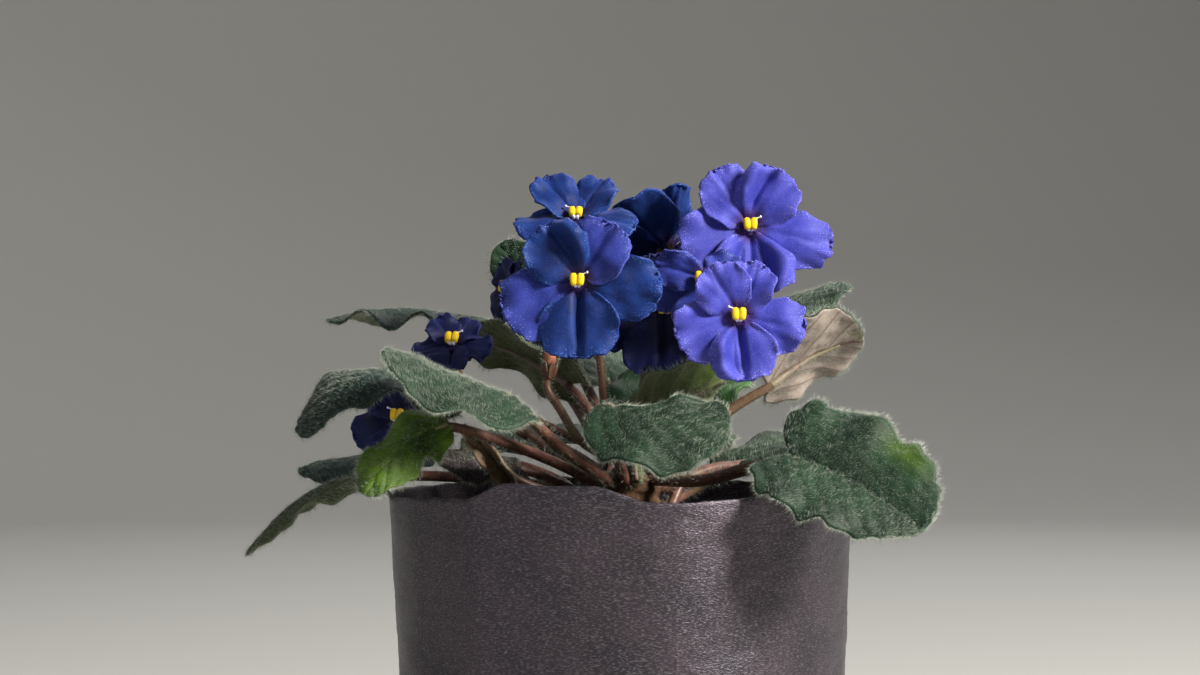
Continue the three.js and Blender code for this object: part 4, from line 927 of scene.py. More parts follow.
# %% One petal's blade, and the unevenness of its face
PETAL_WAVE, WAVE_COUNT, WAVE_STEP = 1.1, 1.6, 0.21
PETAL_OUTLINE = dict(plump=3.4, sweep=0.1, rows=3, tooth=0.035)
# Shares of the bloom's radius: where a petal starts, how deep, how high its middle arches, how far its tip drops
PETAL_BASE, BASE_SUNK, ARCH, TIP_DROP = 0.07, 0.01, 0.04, 0.03
DENT_LENGTHS = (17, 13, 10, 7)


def petal_blade(bloom, one, order):
    """The petal's rib, from the bloom's middle outwards, and the numbers that bend its sheet."""
    middle, face, up, right = bloom_frame(bloom)
    full = BLOOM_RADIUS * bloom["size"]
    turn = math.radians(one["turn"])
    outward = up * math.cos(turn) + right * math.sin(turn)
    length, tilt = one["length"], math.sin(math.radians(one["lift"]))
    rises = ((PETAL_BASE, -BASE_SUNK), (0.5 * length, 0.5 * length * tilt + ARCH),
             (length, length * tilt - TIP_DROP))
    rib = [middle + outward * share * full + face * rise * full for share, rise in rises]
    blade = dict(
        rib=rib, face=face, width=(one["width"] * full,) * 2, fold=one["fold"], curl=one["curl"],
        wave=(PETAL_WAVE, WAVE_COUNT, WAVE_STEP * order + bloom["size"]), bulge=one["bulge"], lobe=one["lobe"],
        **PETAL_OUTLINE)
    blade["curve"], blade["length"] = rib_curve(rib)
    return blade


def dents(rng, along, out):
    """A soft unevenness of a few waves that cross each other."""
    rise = np.zeros(along.shape)
    for length in DENT_LENGTHS:
        turn, start = rng.uniform(0, 2 * np.pi, 2)
        rise += np.sin(2 * np.pi * (along * math.cos(turn) + out * math.sin(turn)) / length + start)
    return rise


# %% The petal's sheet: waves that fan out over it, as counts in a full turn, and how deep they go
NOTCHES, FRILLS, RUFFLES, CRIMPS, RIDGES, STREAKS = 17, 41, 8, 21, 15, 7
NOTCH, FRILL = 0.034, 0.014
PATCHES, PLAIN_SHARE, PATCHY_SHARE = 4, 0.55, 0.45  # of the notches, which come in patches
OUTLINE_CENTRE = 0.3  # a share of the length: the notches grow outwards from there
RUFFLE_HEIGHT, CRIMP_SHARE, RIDGE_HEIGHT, RIDGE_LOSES = 0.9, 0.35, 0.06, 0.6
STREAK_DEPTH, DENT_DEPTH, PLAIN_FURROW = 0.06, 0.16, 0.4
FURROW_SHARE, FURROW_LEAST = 0.09, 0.2  # its width, as a share of the petal's, and what is added to that
CREST_AT, CREST_WIDTH, VALLEY_AT, VALLEY_WIDTH, VALLEY_DEPTH = 0.72, 0.26, 0.28, 0.16, 0.55
# Painted shade: how much the sunk streaks and the pleats' valleys are darkened, and the valley's width
STREAK_SHADE, VALLEY_SHADE, SHADE_WIDTH = 0.3, 0.2, 0.14
NEAR_PETAL_GRID, FAR_PETAL_GRID = (40, 34), (24, 22)


def petal_sheet(name, bloom, one, order, rng):
    blade = petal_blade(bloom, one, order)
    middle, face, _, _ = bloom_frame(bloom)
    u, v, along, out = flat_grid(blade, *(NEAR_PETAL_GRID if bloom["near"] else FAR_PETAL_GRID))
    edge = np.clip(np.maximum(np.abs(v) ** 2, u ** 3), 0, 1)
    around = np.arctan2(out / blade["width"][0], 0.15 + u)
    start = rng.uniform(0, 2 * np.pi, 5)
    # Its edge is notched and frilled, more in some places than in others
    uneven = PLAIN_SHARE + PATCHY_SHARE * np.sin(PATCHES * around + start[4])
    frill = NOTCH * uneven * np.sin(NOTCHES * around + start[0]) + FRILL * np.sin(FRILLS * around + start[1])
    stretch = 1 + edge ** 3 * frill
    centre = blade["length"] * OUTLINE_CENTRE
    along = centre + (along - centre) * stretch
    points = bent(blade, along, out * stretch)
    # Its face has ruffles near the edge, ridges, thin sunk streaks, soft dents and a furrow along the rib
    crimps = CRIMP_SHARE * edge ** 3 * np.sin(CRIMPS * around + start[3])
    ruffle = edge ** 2 * np.sin(RUFFLES * around + start[2]) + crimps
    ridges = np.sin(RIDGES * around + start[4]) * fade(u, 0.15, 0.6) * (1 - RIDGE_LOSES * edge)
    streaks = np.abs(np.sin(STREAKS * around * (1 + 0.1 * u) + start[1])) ** 8 * (1 - u)
    furrow = bell(out, 0, FURROW_SHARE * blade["width"][0] + FURROW_LEAST) * fade(u, 0, 0.15) * (1 - fade(u, 0.65, 1))
    lift = RUFFLE_HEIGHT * bloom["size"] * ruffle + RIDGE_HEIGHT * ridges - STREAK_DEPTH * streaks
    lift = lift + DENT_DEPTH * dents(rng, along, out) * fade(u, 0.1, 0.5) - one.get("furrow", PLAIN_FURROW) * furrow
    points = points + sheet_normals(points) * lift[..., None]
    # A pleat stands a half forward in a crest, with a valley between it and the rib, painted darker as shade
    side = (out >= 0).astype(int)
    tall = np.array(one.get("pleat", (0, 0)), float)[side] * fade(u, 0.08, 0.4) * (1 - fade(u, 0.8, 1))
    pleat = bell(np.abs(v), CREST_AT, CREST_WIDTH) - VALLEY_DEPTH * bell(np.abs(v), VALLEY_AT, VALLEY_WIDTH)
    points = points + face * (tall * pleat)[..., None]
    # Painted shade: the pleat's valley and the sunk streaks are darkened in colour
    painted_valley_shade = VALLEY_SHADE * tall * bell(np.abs(v), VALLEY_AT, SHADE_WIDTH)
    dark = np.clip(STREAK_SHADE * np.clip(streaks, 0, 1) + painted_valley_shade, 0, 1)
    reach = np.linalg.norm(points - middle, axis=-1) / (BLOOM_RADIUS * bloom["size"])
    sheet = grid_sheet(name, points, {"painted_groove_shade": dark, "reach": reach, "edge": edge})
    sheet.data.materials.append(PETAL_SKINS[one.get("skin", bloom["skin"])])
    merge_ends()
    thicken(sheet, PETAL_THICKNESS)
    return sheet


# %% A piece spun from its outline


def placed(piece, at, face, material):
    """The piece with its Z axis turned to look along face, and its middle moved to at."""
    piece.data.transform(Vector((0, 0, 1)).rotation_difference(Vector(face)).to_matrix().to_4x4())
    piece.data.transform(Matrix.Translation(Vector(at) * MM))
    piece.data.materials.append(material)
    return piece


def lathe_piece(name, profile, at, face, material, sides=24):
    """A profile of radius and height, spun about the Z axis, then turned to look along face."""
    fresh()
    bpy.ops.mesh.primitive_circle_add(vertices=len(profile), radius=1)
    piece = bpy.context.object
    piece.name = name
    for vertex, (radius, height) in zip(piece.data.vertices, profile):
        vertex.co = (radius * MM, 0, height * MM)
    closing = {0, len(profile) - 1}
    bpy.ops.object.mode_set(mode="EDIT")
    bpy.ops.mesh.select_mode(type="EDGE")
    bpy.ops.mesh.select_all(action="DESELECT")
    bpy.ops.object.mode_set(mode="OBJECT")
    for edge in piece.data.edges:
        edge.select = set(edge.vertices) == closing
    bpy.ops.object.mode_set(mode="EDIT")
    bpy.ops.mesh.delete(type="EDGE")
    bpy.ops.mesh.select_mode(type="VERT")
    bpy.ops.mesh.select_all(action="SELECT")
    bpy.ops.mesh.spin(steps=sides, angle=2 * math.pi, center=(0, 0, 0), axis=(0, 0, 1))
    bpy.ops.mesh.select_all(action="SELECT")
    bpy.ops.mesh.remove_doubles(threshold=FINE_MERGE * MM)
    bpy.ops.mesh.normals_make_consistent(inside=False)
    bpy.ops.object.mode_set(mode="OBJECT")
    return placed(piece, at, face, material)


# %% A bloom's petals, and the short tube that they grow together into
BLOOM_SEED = 400
TUBE = [(0, -5), (1.1, -5), (1.5, -3.5), (2.0, -0.8), (3.1, 0.3), (2.2, 0.55), (0.9, 0.65), (0, 0.7)]


def bloom_petals(name, bloom, order):
    rng = np.random.default_rng(BLOOM_SEED + order)
    middle, face, _, _ = bloom_frame(bloom)
    sheets = [petal_sheet(f"{name}_petal_{i}", bloom, {**one, **bloom["petals"].get(i, {})}, i, rng)
              for i, one in enumerate(PETALS)]
    cup = lathe_piece(name + "_tube", TUBE, middle, face, PETAL_SKINS[bloom["skin"]])
    return joined(name + "_fine", [*sheets, cup])


# %% Anthers, their threads and the style
SAC_RADII, STYLE_TIP_RADII = (1.02, 1.2, 1.75), (0.3, 0.3, 0.36)
THREAD_RADIUS, STYLE_RADII = 0.5, (0.24, 0.18)
# Places from the bloom's middle, in millimetres
SAC_OUT, SAC_ASIDE, SAC_UP, SAC_LEAN, SAC_SQUARE = 2.5, 0.94, 0.15, 0.08, 0.66
THREAD_OUT, THREAD_ASIDE, THREAD_DOWN, THREAD_TOP = 1.0, 0.45, 0.9, 1.1
STYLE_UP, STYLE_OUT = 0.9, 1.0


def egg(name, at, radii, material, pull=(0, 0, 1), square=1.0, taper=0.0):
    """A round body of three radii, its Z axis turned to look along pull. A low square makes it boxier, and
    taper thins its far end."""
    fresh()
    bpy.ops.mesh.primitive_uv_sphere_add(segments=16, ring_count=10, radius=1)
    body = bpy.context.object
    body.name = name
    for vertex in body.data.vertices:
        x, y, z = [math.copysign(abs(c) ** square, c) for c in vertex.co]
        slim = 1 - taper * (z + 1) / 2
        vertex.co = Vector((x * slim, y * slim, z)) * Vector(radii) * MM
    return placed(body, at, pull, material)


def bloom_anthers(name, bloom, order):
    """Two plump squarish yellow sacs with a cleft between them, on short pale threads that show below
    them, and the slim pale style that leans out past them."""
    middle, face, up, right = bloom_frame(bloom)
    lean = (-1) ** order
    pieces = []
    for side in (-1, 1):
        at = middle + face * SAC_OUT + right * SAC_ASIDE * side + up * SAC_UP
        pieces.append(egg(name + "_sac", at, SAC_RADII, ANTHER_SKIN, up + SAC_LEAN * side * right, SAC_SQUARE))
        low = middle + right * THREAD_ASIDE * side + face * THREAD_OUT - up * THREAD_DOWN
        thread = smooth_path([low, low + face * 0.9 - up * 0.6, at - up * THREAD_TOP])
        pieces.append(tube(name + "_thread", thread, np.full(len(thread), THREAD_RADIUS), STYLE_SKIN))
    base = middle + up * STYLE_UP + face * STYLE_OUT
    tip = base + right * 2.8 * lean + up * 1.1 + face * 2.2
    style = smooth_path([base, base + right * 0.9 * lean + up * 0.4 + face * 1.6, tip])
    pieces.append(tube(name + "_style", style, np.linspace(*STYLE_RADII, len(style)), STYLE_SKIN))
    pieces.append(egg(name + "_style_tip", tip, STYLE_TIP_RADII, STYLE_SKIN))
    return joined(name + "_fine", pieces)


# %% All the blooms
for order, (name, bloom) in enumerate(BLOOMS.items()):
    settle(bloom_petals("corolla_" + name, bloom, order), "corolla_" + name)
    settle(bloom_anthers("anthers_" + name, bloom, order), "anthers_" + name)
print("Blooms made:", len(BLOOMS))

# %% [markdown]
# ## Flower stalks
# Each flower stalk rises from the crown's top and forks. Every branch ends in a calyx, the green-brown
# cup with five narrow sepals that holds the flower's tube from behind. One stalk ends in a closed bud.

# %% The table of flower stalks
STALKS = {
    "stalk_left": dict(
        root=-68, stem=[(-2.5, -5, 129), (-4.3, -7, 138), (-5.7, -8, 152)],
        branches=[([(-8, -12, 165)], "front_left"), ([(-9, -2, 166)], "top_left"),
                  ([(-12, 4, 160)], "left_shaded")]),
    "stalk_bud": dict(
        root=-128, stem=[(-4, -6, 125), (-11.2, -12, 129.5), (-16.8, -10, 138), (-20.5, -8, 144), (-19.7, -8, 151)],
        branches=[]),
    "stalk_right": dict(
        root=-20, stem=[(10, 2, 129), (19, 2, 141), (24, 0, 152)],
        branches=[([(27, -10, 149), (30, -24, 155)], "front_right"), ([(26, -8, 164)], "middle_right"),
                  ([(28, 6, 165)], "top_right")]),
    "stalk_middle": dict(
        root=50, stem=[(6, 8, 131), (7, 16, 146), (7, 20, 156)],
        branches=[([(7, 20, 167)], "middle_low"), ([(15, 15, 168)], "top_back")]),
    "stalk_left_low": dict(
        root=-172, stem=[(-6, -2, 126.5), (-25, -1, 135), (-42, 4, 140)],
        branches=[([], "left_high"), ([(-50, 12, 135)], "left_low")]),
}

# %% A calyx's sepals
SEPALS, SEPAL_WIDTH, SEPAL_THICKNESS, SEPAL_BELLY, SEPAL_GRID = 5, 1.1, 0.5, 2.3, (12, 6)
SEPAL_START = 0.3  # the first sepal's turn, in radians


def sepal_ring(name, at, face, reach, rise):
    """Five narrow pointed sepals round a stalk's end. reach is how far their tips stand out from it."""
    up = unit(np.array([0.3, 0.1, 1.0]) - face * np.dot([0.3, 0.1, 1.0], face))
    side = np.cross(up, face)
    sheets = []
    for k in range(SEPALS):
        turn = 2 * math.pi * k / SEPALS + SEPAL_START
        outward = up * math.cos(turn) + side * math.sin(turn)
        belly = min(SEPAL_BELLY, reach - 0.4)
        rib = [at - face * 4 + outward * 0.7, at - face * 1.5 + outward * belly, at + face * rise + outward * reach]
        blade = dict(rib=rib, face=outward, width=(SEPAL_WIDTH,) * 2, fold=(12, 12), curl=(20, 20),
                     wave=(0.1, 1, 0), bulge=0.8, lobe=0, sweep=0, rows=3, tooth=0.0)
        blade["curve"], blade["length"] = rib_curve(rib)
        points = bent(blade, *flat_grid(blade, *SEPAL_GRID)[2:])
        sheet = grid_sheet(f"{name}_sepal_{k}", points, {})
        sheet.data.materials.append(FLOWER_STALK)
        merge_ends()
        thicken(sheet, SEPAL_THICKNESS)
        sheets.append(sheet)
    return sheets


# %% The whole stalk, with its calyces or its bud
STALK_SEED = 700
STALK_FOOT, STALK_RADIUS, STALK_END_RADIUS, BRANCH_RADIUS = 3.4, 1.4, 1.1, 0.9
TUBE_LENGTH, CLEAR = 5, 0.3
CALYX = [(0, -4), (0.95, -4), (1.5, -2.8), (1.9, -1.2), (2.0, 0), (0, 0)]
CUP_SIDES = 16
STEM_HAIRS, BRANCH_HAIRS, BUD_HAIRS = (9, 1.9), (8, 1.5), (40, 1.6)  # how many on a millimetre, and the longest
OPEN_SEPALS, CLOSED_SEPALS = (3.4, 1.6), (1.9, 0.8)  # how far their tips stand out, and how far they rise
BUD_RADII, BUD_COAT = (2.4, 2.4, 3.9), (1.2, 1.6, 2.1, 2.4, 2.4, 2.1, 1.6, 0.8)
BUD_RISE, BUD_TAPER, BUD_SEPALS_AT, BUD_SPAN = 2.4, 0.6, -0.6, (-2, 5)
BUD_SKIN = stalk_skin("bud_orange_pink", "#8a4a38", "#b57458", "#9c5f50")


def make_stalk(node, numbers, order):
    rng = np.random.default_rng(STALK_SEED + order)
    turn = math.radians(numbers["root"])
    foot = (CROWN_X + STALK_FOOT * math.cos(turn), CROWN_Y + STALK_FOOT * math.sin(turn))
    main = [(*foot, CROWN_TOP - 2.2), (*foot, CROWN_TOP + 1.5), *numbers["stem"]]
    path = smooth_path(main)
    radii = np.linspace(STALK_RADIUS, STALK_END_RADIUS, len(path))
    pieces = [tube(node + "_stem", path, radii, FLOWER_STALK),
              stalk_hairs(node + "_hairs", rng, path, radii, *STEM_HAIRS)]
    fork, before = np.array(main[-1], float), np.array(main[-2], float)
    for via, bloom in numbers["branches"]:
        middle, face, _, _ = bloom_frame(BLOOMS[bloom])
        behind = TUBE_LENGTH + CLEAR  # the calyx stops just short of the tube, which is another piece
        way = [fork * 0.96 + before * 0.04, *via, middle - face * (behind + 4), middle - face * (behind + 1)]
        branch = smooth_path(way)
        thin = np.full(len(branch), BRANCH_RADIUS)
        end = middle - face * behind
        pieces += [tube(node + "_branch", branch, thin, FLOWER_STALK),
                   stalk_hairs(node + "_branch_hairs", rng, branch, thin, *BRANCH_HAIRS),
                   lathe_piece(node + "_cup", CALYX, end, face, FLOWER_STALK, CUP_SIDES)]
        pieces += sepal_ring(f"{node}_{bloom}", end, face, *OPEN_SEPALS)
    if not numbers["branches"]:
        face = np.array([0.1, 0, 1.0])
        pieces.append(egg(node + "_bud", fork + (0, 0, BUD_RISE), BUD_RADII, BUD_SKIN, taper=BUD_TAPER))
        pieces += sepal_ring(node, fork + (0, 0, BUD_SEPALS_AT), unit(face), *CLOSED_SEPALS)
        bud_way = np.array([fork + (0, 0, z) for z in np.linspace(*BUD_SPAN, len(BUD_COAT))])
        pieces.append(stalk_hairs(node + "_bud_hairs", rng, bud_way, np.array(BUD_COAT), *BUD_HAIRS))
    stalk = joined(node + "_fine", pieces)
    settle(stalk, node)
    return len(stalk.data.polygons)


faces = sum(make_stalk(node, numbers, order) for order, (node, numbers) in enumerate(STALKS.items()))
print("Flower stalks made:", len(STALKS), "with", faces, "faces")

# %% [markdown]
# ## Crown and soil
# The crown is a short woody stub with the scars of old leaves. The soil is a moist compost: dark crumbs
# with a few grains of perlite in it, a puffed mineral that looks dry and chalky. The mound's form follows
# the solid, and is broken up by noise and by loose crumbs, since a smooth mound would look like plaster.

# %% Rough finishes, and the measures of what holds the soil


def rough_skin(name, dark, light, size, roughness):
    material, tree, shader = finish(name, Roughness=roughness, Specular_IOR_Level=0.25)
    place = add(tree, "ShaderNodeTexCoord", give="Object")
    lumps = add(tree, "ShaderNodeTexNoise", {
        "Vector": place, "Scale": per_mm(size), "Detail": 8.0, "Roughness": 0.7}, "Fac")
    share = add(tree, "ShaderNodeMapRange", {"Value": lumps, "From Min": 0.35, "From Max": 0.68}, "Result")
    colour = add(tree, "ShaderNodeMix", {FACTOR: share, FIRST: linear(dark), SECOND: linear(light)}, MIXED, **COLOURS)
    tree.links.new(colour, shader.inputs["Base Color"])
    relief = add(tree, "ShaderNodeBump", {"Height": lumps, "Strength": 0.8, "Distance": 0.3 * size * MM}, "Normal")
    tree.links.new(relief, shader.inputs["Normal"])
    return material


COMPOST = rough_skin("potting_compost_moist", "#120c08", "#3b2a1d", 2.5, 0.95)
PERLITE = rough_skin("perlite_grains", "#b9b4a8", "#ece8df", 1.0, 0.9)
STUB = rough_skin("crown_scarred_stem", "#33251a", "#6e5138", 1.6, 0.8)
print("Rough finishes:", COMPOST.name, PERLITE.name, STUB.name)
SOIL_LEVEL, CROWN_FOOT = 100, 88
POT_HEIGHT, POT_RIM_RADIUS, POT_FOOT_RADIUS, POT_WALL = 105, 59.5, 47, 1.6
COVER_WALL = 1.4
POT_FLOOR = COVER_WALL + CLEAR


def pot_radius(height):
    """The nursery pot's outer radius below its lip."""
    return POT_FOOT_RADIUS + (POT_RIM_RADIUS - 2 - POT_FOOT_RADIUS) * (height - POT_FLOOR) / (POT_HEIGHT - POT_FLOOR)


# %% Crown
CROWN_SHAPE = ((88, 4.5), (100, 6), (104, 7.3), (118, 7.3), (120.5, 6.4), (122, 4))
CROWN_SIDES, CROWN_RING = 40, 0.75
CROWN_LUMP, LUMP_SIZE, SCAR, SCARS_UP, SCARS_ROUND = 0.09, 2.2, 0.05, 2.1, 1.5


def shaped_round(name, profile, sides, shift, material):
    """A spun profile whose points are then moved by shift(x, y, z), all in millimetres."""
    body = lathe_piece(name, profile, (0, 0, 0), (0, 0, 1), material, sides)
    for vertex in body.data.vertices:
        vertex.co = Vector(shift(*(vertex.co / MM))) * MM
    return body


def crown_shift(x, y, z):
    scars = SCAR * math.sin(SCARS_UP * z + SCARS_ROUND * math.atan2(y, x))
    lump = 1 + CROWN_LUMP * noise.noise(Vector((x, y, z)) / LUMP_SIZE) + scars
    return x * lump + CROWN_X, y * lump + CROWN_Y, z


crown_heights, crown_radii = zip(*CROWN_SHAPE)
crown_profile = [(0, CROWN_FOOT), (crown_radii[0], CROWN_FOOT)]
crown_profile += [(float(np.interp(z, crown_heights, crown_radii)), z)
                  for z in np.arange(CROWN_FOOT + 1, CROWN_TOP, CROWN_RING)]
crown = shaped_round("crown_fine", [*crown_profile, (0, CROWN_TOP)], CROWN_SIDES, crown_shift, STUB)
settle(joined("crown_fine", [crown]), "crown")
print("Crown made, from", CROWN_FOOT, "to", CROWN_TOP, "mm")

# %% Soil: how high it lies at a distance from the pot's middle
SOIL_SHAPE = ((0, 103.2), (11, 103), (22, 101.6), (36, 100.4), (49, 99.6), (56, 98.6))
SOIL_SIDES, SOIL_RINGS = 150, 46
SWELL, RIPPLE = 0.7, 0.3
BROKEN, LARGE_LUMP, SMALL_LUMP, SMALL_SHARE = 0.9, 2.6, 1.1, 0.6


def soil_top(x, y, reach):
    fall = np.interp(reach, *zip(*SOIL_SHAPE))
    waves = SWELL * math.sin(0.33 * x + 1.3) * math.cos(0.29 * y) + RIPPLE * math.sin(0.9 * x - 0.7 * y)
    lumps = noise.noise(Vector((x, y, 0)) / LARGE_LUMP) + SMALL_SHARE * noise.noise(Vector((x, y, 7)) / SMALL_LUMP)
    return float(fall) + waves + BROKEN * lumps


def soil_shift(x, y, z):
    reach = math.hypot(x, y)
    return x, y, soil_top(x, y, reach) if z > SOIL_LEVEL - 3 else z


SOIL_REACH = pot_radius(SOIL_LEVEL) - POT_WALL - CLEAR
SOIL_FOOT = POT_FLOOR + POT_WALL + CLEAR
soil_profile = [(0, SOIL_FOOT), (POT_FOOT_RADIUS - POT_WALL - 0.5, SOIL_FOOT), (SOIL_REACH - 0.6, SOIL_LEVEL - 6)]
soil_profile += [(reach, SOIL_LEVEL) for reach in np.linspace(SOIL_REACH - 0.2, 0, SOIL_RINGS)]
soil_body = shaped_round("soil_body", soil_profile, SOIL_SIDES, soil_shift, COMPOST)
print("Soil's body reaches", round(SOIL_REACH, 1), "mm from the pot's middle")

# %% Loose crumbs and white grains on the soil
CRUMB_SEED = 31
CRUMBS, CRUMB_SIZE, GRAINS, GRAIN_SIZE, CRUMB_REACH = 170, 1.8, 45, 1.2, 55
CORNER_SPREAD, SIZE_SPREAD, CRUMB_FLAT, CRUMB_RISE = (0.7, 1.2), (0.5, 1), (0.8, 0.7), 0.2


def crumb(name, rng, material, size):
    reach, turn = CRUMB_REACH * math.sqrt(rng.random()), rng.uniform(0, 2 * math.pi)
    x, y = reach * math.cos(turn), reach * math.sin(turn)
    fresh()
    bpy.ops.mesh.primitive_ico_sphere_add(subdivisions=1, radius=1)
    grain = bpy.context.object
    for vertex in grain.data.vertices:
        vertex.co = vertex.co * rng.uniform(*CORNER_SPREAD)
    radius = rng.uniform(*SIZE_SPREAD) * size * MM
    grain.data.transform(Matrix.Diagonal((radius, radius * CRUMB_FLAT[0], radius * CRUMB_FLAT[1], 1)))
    grain.data.transform(Matrix.Translation(Vector((x, y, soil_top(x, y, reach) + CRUMB_RISE * size)) * MM))
    grain.data.materials.append(material)
    grain.name = name
    return grain


rng = np.random.default_rng(CRUMB_SEED)
crumbs = [crumb("crumb", rng, COMPOST, CRUMB_SIZE) for _ in range(CRUMBS)]
crumbs += [crumb("white_grain", rng, PERLITE, GRAIN_SIZE) for _ in range(GRAINS)]
soil = joined("soil_fine", [soil_body, *crumbs])
settle(soil, "soil")
print("Soil made, with", len(crumbs), "loose crumbs and grains")

# %% [markdown]
# ## Nursery pot
# A thin blow-moulded polypropylene pot with a rolled lip. It is matte, a little greasy to the eye, and
# has a fine grain; the real one also carries fine rings from its mould. Only its rim shows, between the
# soil and the paper.

# %% The pot, spun from its wall's outline
POT_SKIN, pot_tree, pot_shader = finish("polypropylene_matte_black", Roughness=0.5, Specular_IOR_Level=0.4)
pot_place = add(pot_tree, "ShaderNodeTexCoord", give="Object")
pot_dust = add(pot_tree, "ShaderNodeTexNoise", {"Vector": pot_place, "Scale": per_mm(9), "Detail": 6.0}, "Fac")
pot_colour = add(pot_tree, "ShaderNodeMix", {FACTOR: pot_dust, FIRST: linear("#161616"), SECOND: linear("#34322f")},
                 MIXED, **COLOURS)
pot_tree.links.new(pot_colour, pot_shader.inputs["Base Color"])
pot_grain = add(pot_tree, "ShaderNodeTexNoise", {"Vector": pot_place, "Scale": per_mm(0.5)}, "Fac")
pot_bump = add(pot_tree, "ShaderNodeBump", {"Height": pot_grain, "Strength": 0.2, "Distance": 0.1 * MM}, "Normal")
pot_tree.links.new(pot_bump, pot_shader.inputs["Normal"])

LIP = POT_HEIGHT - 8
DRAIN_RADIUS, POT_SIDES, SOFT_ANGLE = 6, 120, 40
pot_outline = [
    (DRAIN_RADIUS, POT_FLOOR), (POT_FOOT_RADIUS - 1, POT_FLOOR), (POT_FOOT_RADIUS, POT_FLOOR + 1),
    (pot_radius(LIP), LIP), (POT_RIM_RADIUS - 0.5, LIP), (POT_RIM_RADIUS, LIP + 0.5),
    (POT_RIM_RADIUS, POT_HEIGHT - 0.9), (POT_RIM_RADIUS - 0.3, POT_HEIGHT - 0.25), (POT_RIM_RADIUS - 0.9, POT_HEIGHT),
    (pot_radius(POT_HEIGHT) - 0.6, POT_HEIGHT), (pot_radius(POT_HEIGHT) - POT_WALL, POT_HEIGHT - 0.7),
    (pot_radius(POT_FLOOR + POT_WALL) - POT_WALL, POT_FLOOR + POT_WALL), (DRAIN_RADIUS, POT_FLOOR + POT_WALL),
    (DRAIN_RADIUS, POT_FLOOR)]
pot = lathe_piece("nursery_pot_fine", pot_outline, (0, 0, 0), (0, 0, 1), POT_SKIN, POT_SIDES)
fresh()
pot.select_set(True)
bpy.context.view_layer.objects.active = pot
bpy.ops.object.shade_smooth_by_angle(angle=math.radians(SOFT_ANGLE))
settle(pot, "nursery_pot")
print("Nursery pot made:", len(pot.data.polygons), "faces")

# %% [markdown]
# ## Crinkled paper cover
# The sleeve is a dark crepe paper with a faint metallic coat. Its fine creases run round the pot and
# each one catches the light as a short bright dash. The sleeve itself has one sharp upright fold, a dent
# beside it and a wavy rim. The wide creases go into the mesh. The fine ones, about a millimetre long, go
# into the bump, and their bright dashes are painted into the colour as highlights, because no mesh of a
# sensible size could carry them.

# %% Crepe paper
CREASE_LENGTH, CREASE_HEIGHT, PAPER_SPOT = 1.0, 0.27, 16
squash = CREASE_HEIGHT / CREASE_LENGTH
PAPER, paper, paper_shader = finish(
    "crepe_paper_charcoal_metallic", Roughness=0.4, Metallic=0.7, Specular_IOR_Level=0.5)
paper_place = add(paper, "ShaderNodeTexCoord", give="Object")
crease_place = add(paper, "ShaderNodeMapping", {"Vector": paper_place, "Scale": (squash, squash, 1.0)}, "Vector")
creases = add(paper, "ShaderNodeTexNoise", {
    "Vector": crease_place, "Scale": per_mm(CREASE_HEIGHT), "Detail": 2.0, "Roughness": 0.6}, "Fac")
broad = add(paper, "ShaderNodeTexNoise", {"Vector": paper_place, "Scale": per_mm(PAPER_SPOT), "Detail": 3.0}, "Fac")
broad_share = add(paper, "ShaderNodeMapRange", {"Value": broad, "From Min": 0.35, "From Max": 0.65}, "Result")
paper_ground = add(paper, "ShaderNodeMix", {
    FACTOR: broad_share, FIRST: linear("#39353c"), SECOND: linear("#463e46")}, MIXED, **COLOURS)
# Painted highlight: the fine creases' crests are painted pale as bright dashes
painted_crest_highlight = add(paper, "ShaderNodeMapRange", {
    "Value": creases, "From Min": 0.5, "From Max": 0.8, "To Max": 0.5}, "Result")
paper_colour = add(paper, "ShaderNodeMix", {
    FACTOR: painted_crest_highlight, FIRST: paper_ground, SECOND: linear("#a99fa9")}, MIXED, **COLOURS)
paper.links.new(paper_colour, paper_shader.inputs["Base Color"])
paper_relief = add(paper, "ShaderNodeBump", {"Height": creases, "Strength": 0.8, "Distance": 0.22 * MM}, "Normal")
paper.links.new(paper_relief, paper_shader.inputs["Normal"])
print("Paper finish:", PAPER.name)

# %% The sleeve's outline
COVER_HEIGHT, COVER_TOP_RADIUS, COVER_FOOT_RADIUS = 115, 65.3, 59
# Angles in degrees round the pot, and how far each form stands out or rises in millimetres
FOLD_AT, FOLD_WIDTH, FOLD_HEIGHT = -126, 5, 1.1
HOLLOW_AT, HOLLOW_WIDTH, HOLLOW_DEPTH = FOLD_AT - 16, 9, 0.5
DENT_AT, DENT_WIDTH, DENT_HOLLOW = -92, 11, 0.9
RISE_STARTS, RISE_ENDS, RIM_RISE = (-128, -117), (-98, -82), 4.4
DIP_AT, DIP_WIDTH, RIM_DIP = 178, 45, 1.2
BELLY_AT, BELLY_WIDTH, BELLY_HEIGHT = 0, 40, 0.6
OUT_OF_ROUND = 0.35


def bump(angle, at, width):
    """1 at one angle round the pot, with a soft fall on both sides."""
    return bell((angle - at + 180) % 360 - 180, 0, width)


def rim_height(angle):
    """The rim rises at the front left, dips a little at the left, and ripples."""
    rise = fade(angle, *RISE_STARTS) * (1 - fade(angle, *RISE_ENDS))
    ripple = 0.35 * np.sin(np.radians(5 * angle)) + 0.2 * np.sin(np.radians(11 * angle))
    return COVER_HEIGHT + RIM_RISE * rise - RIM_DIP * bump(angle, DIP_AT, DIP_WIDTH) + ripple


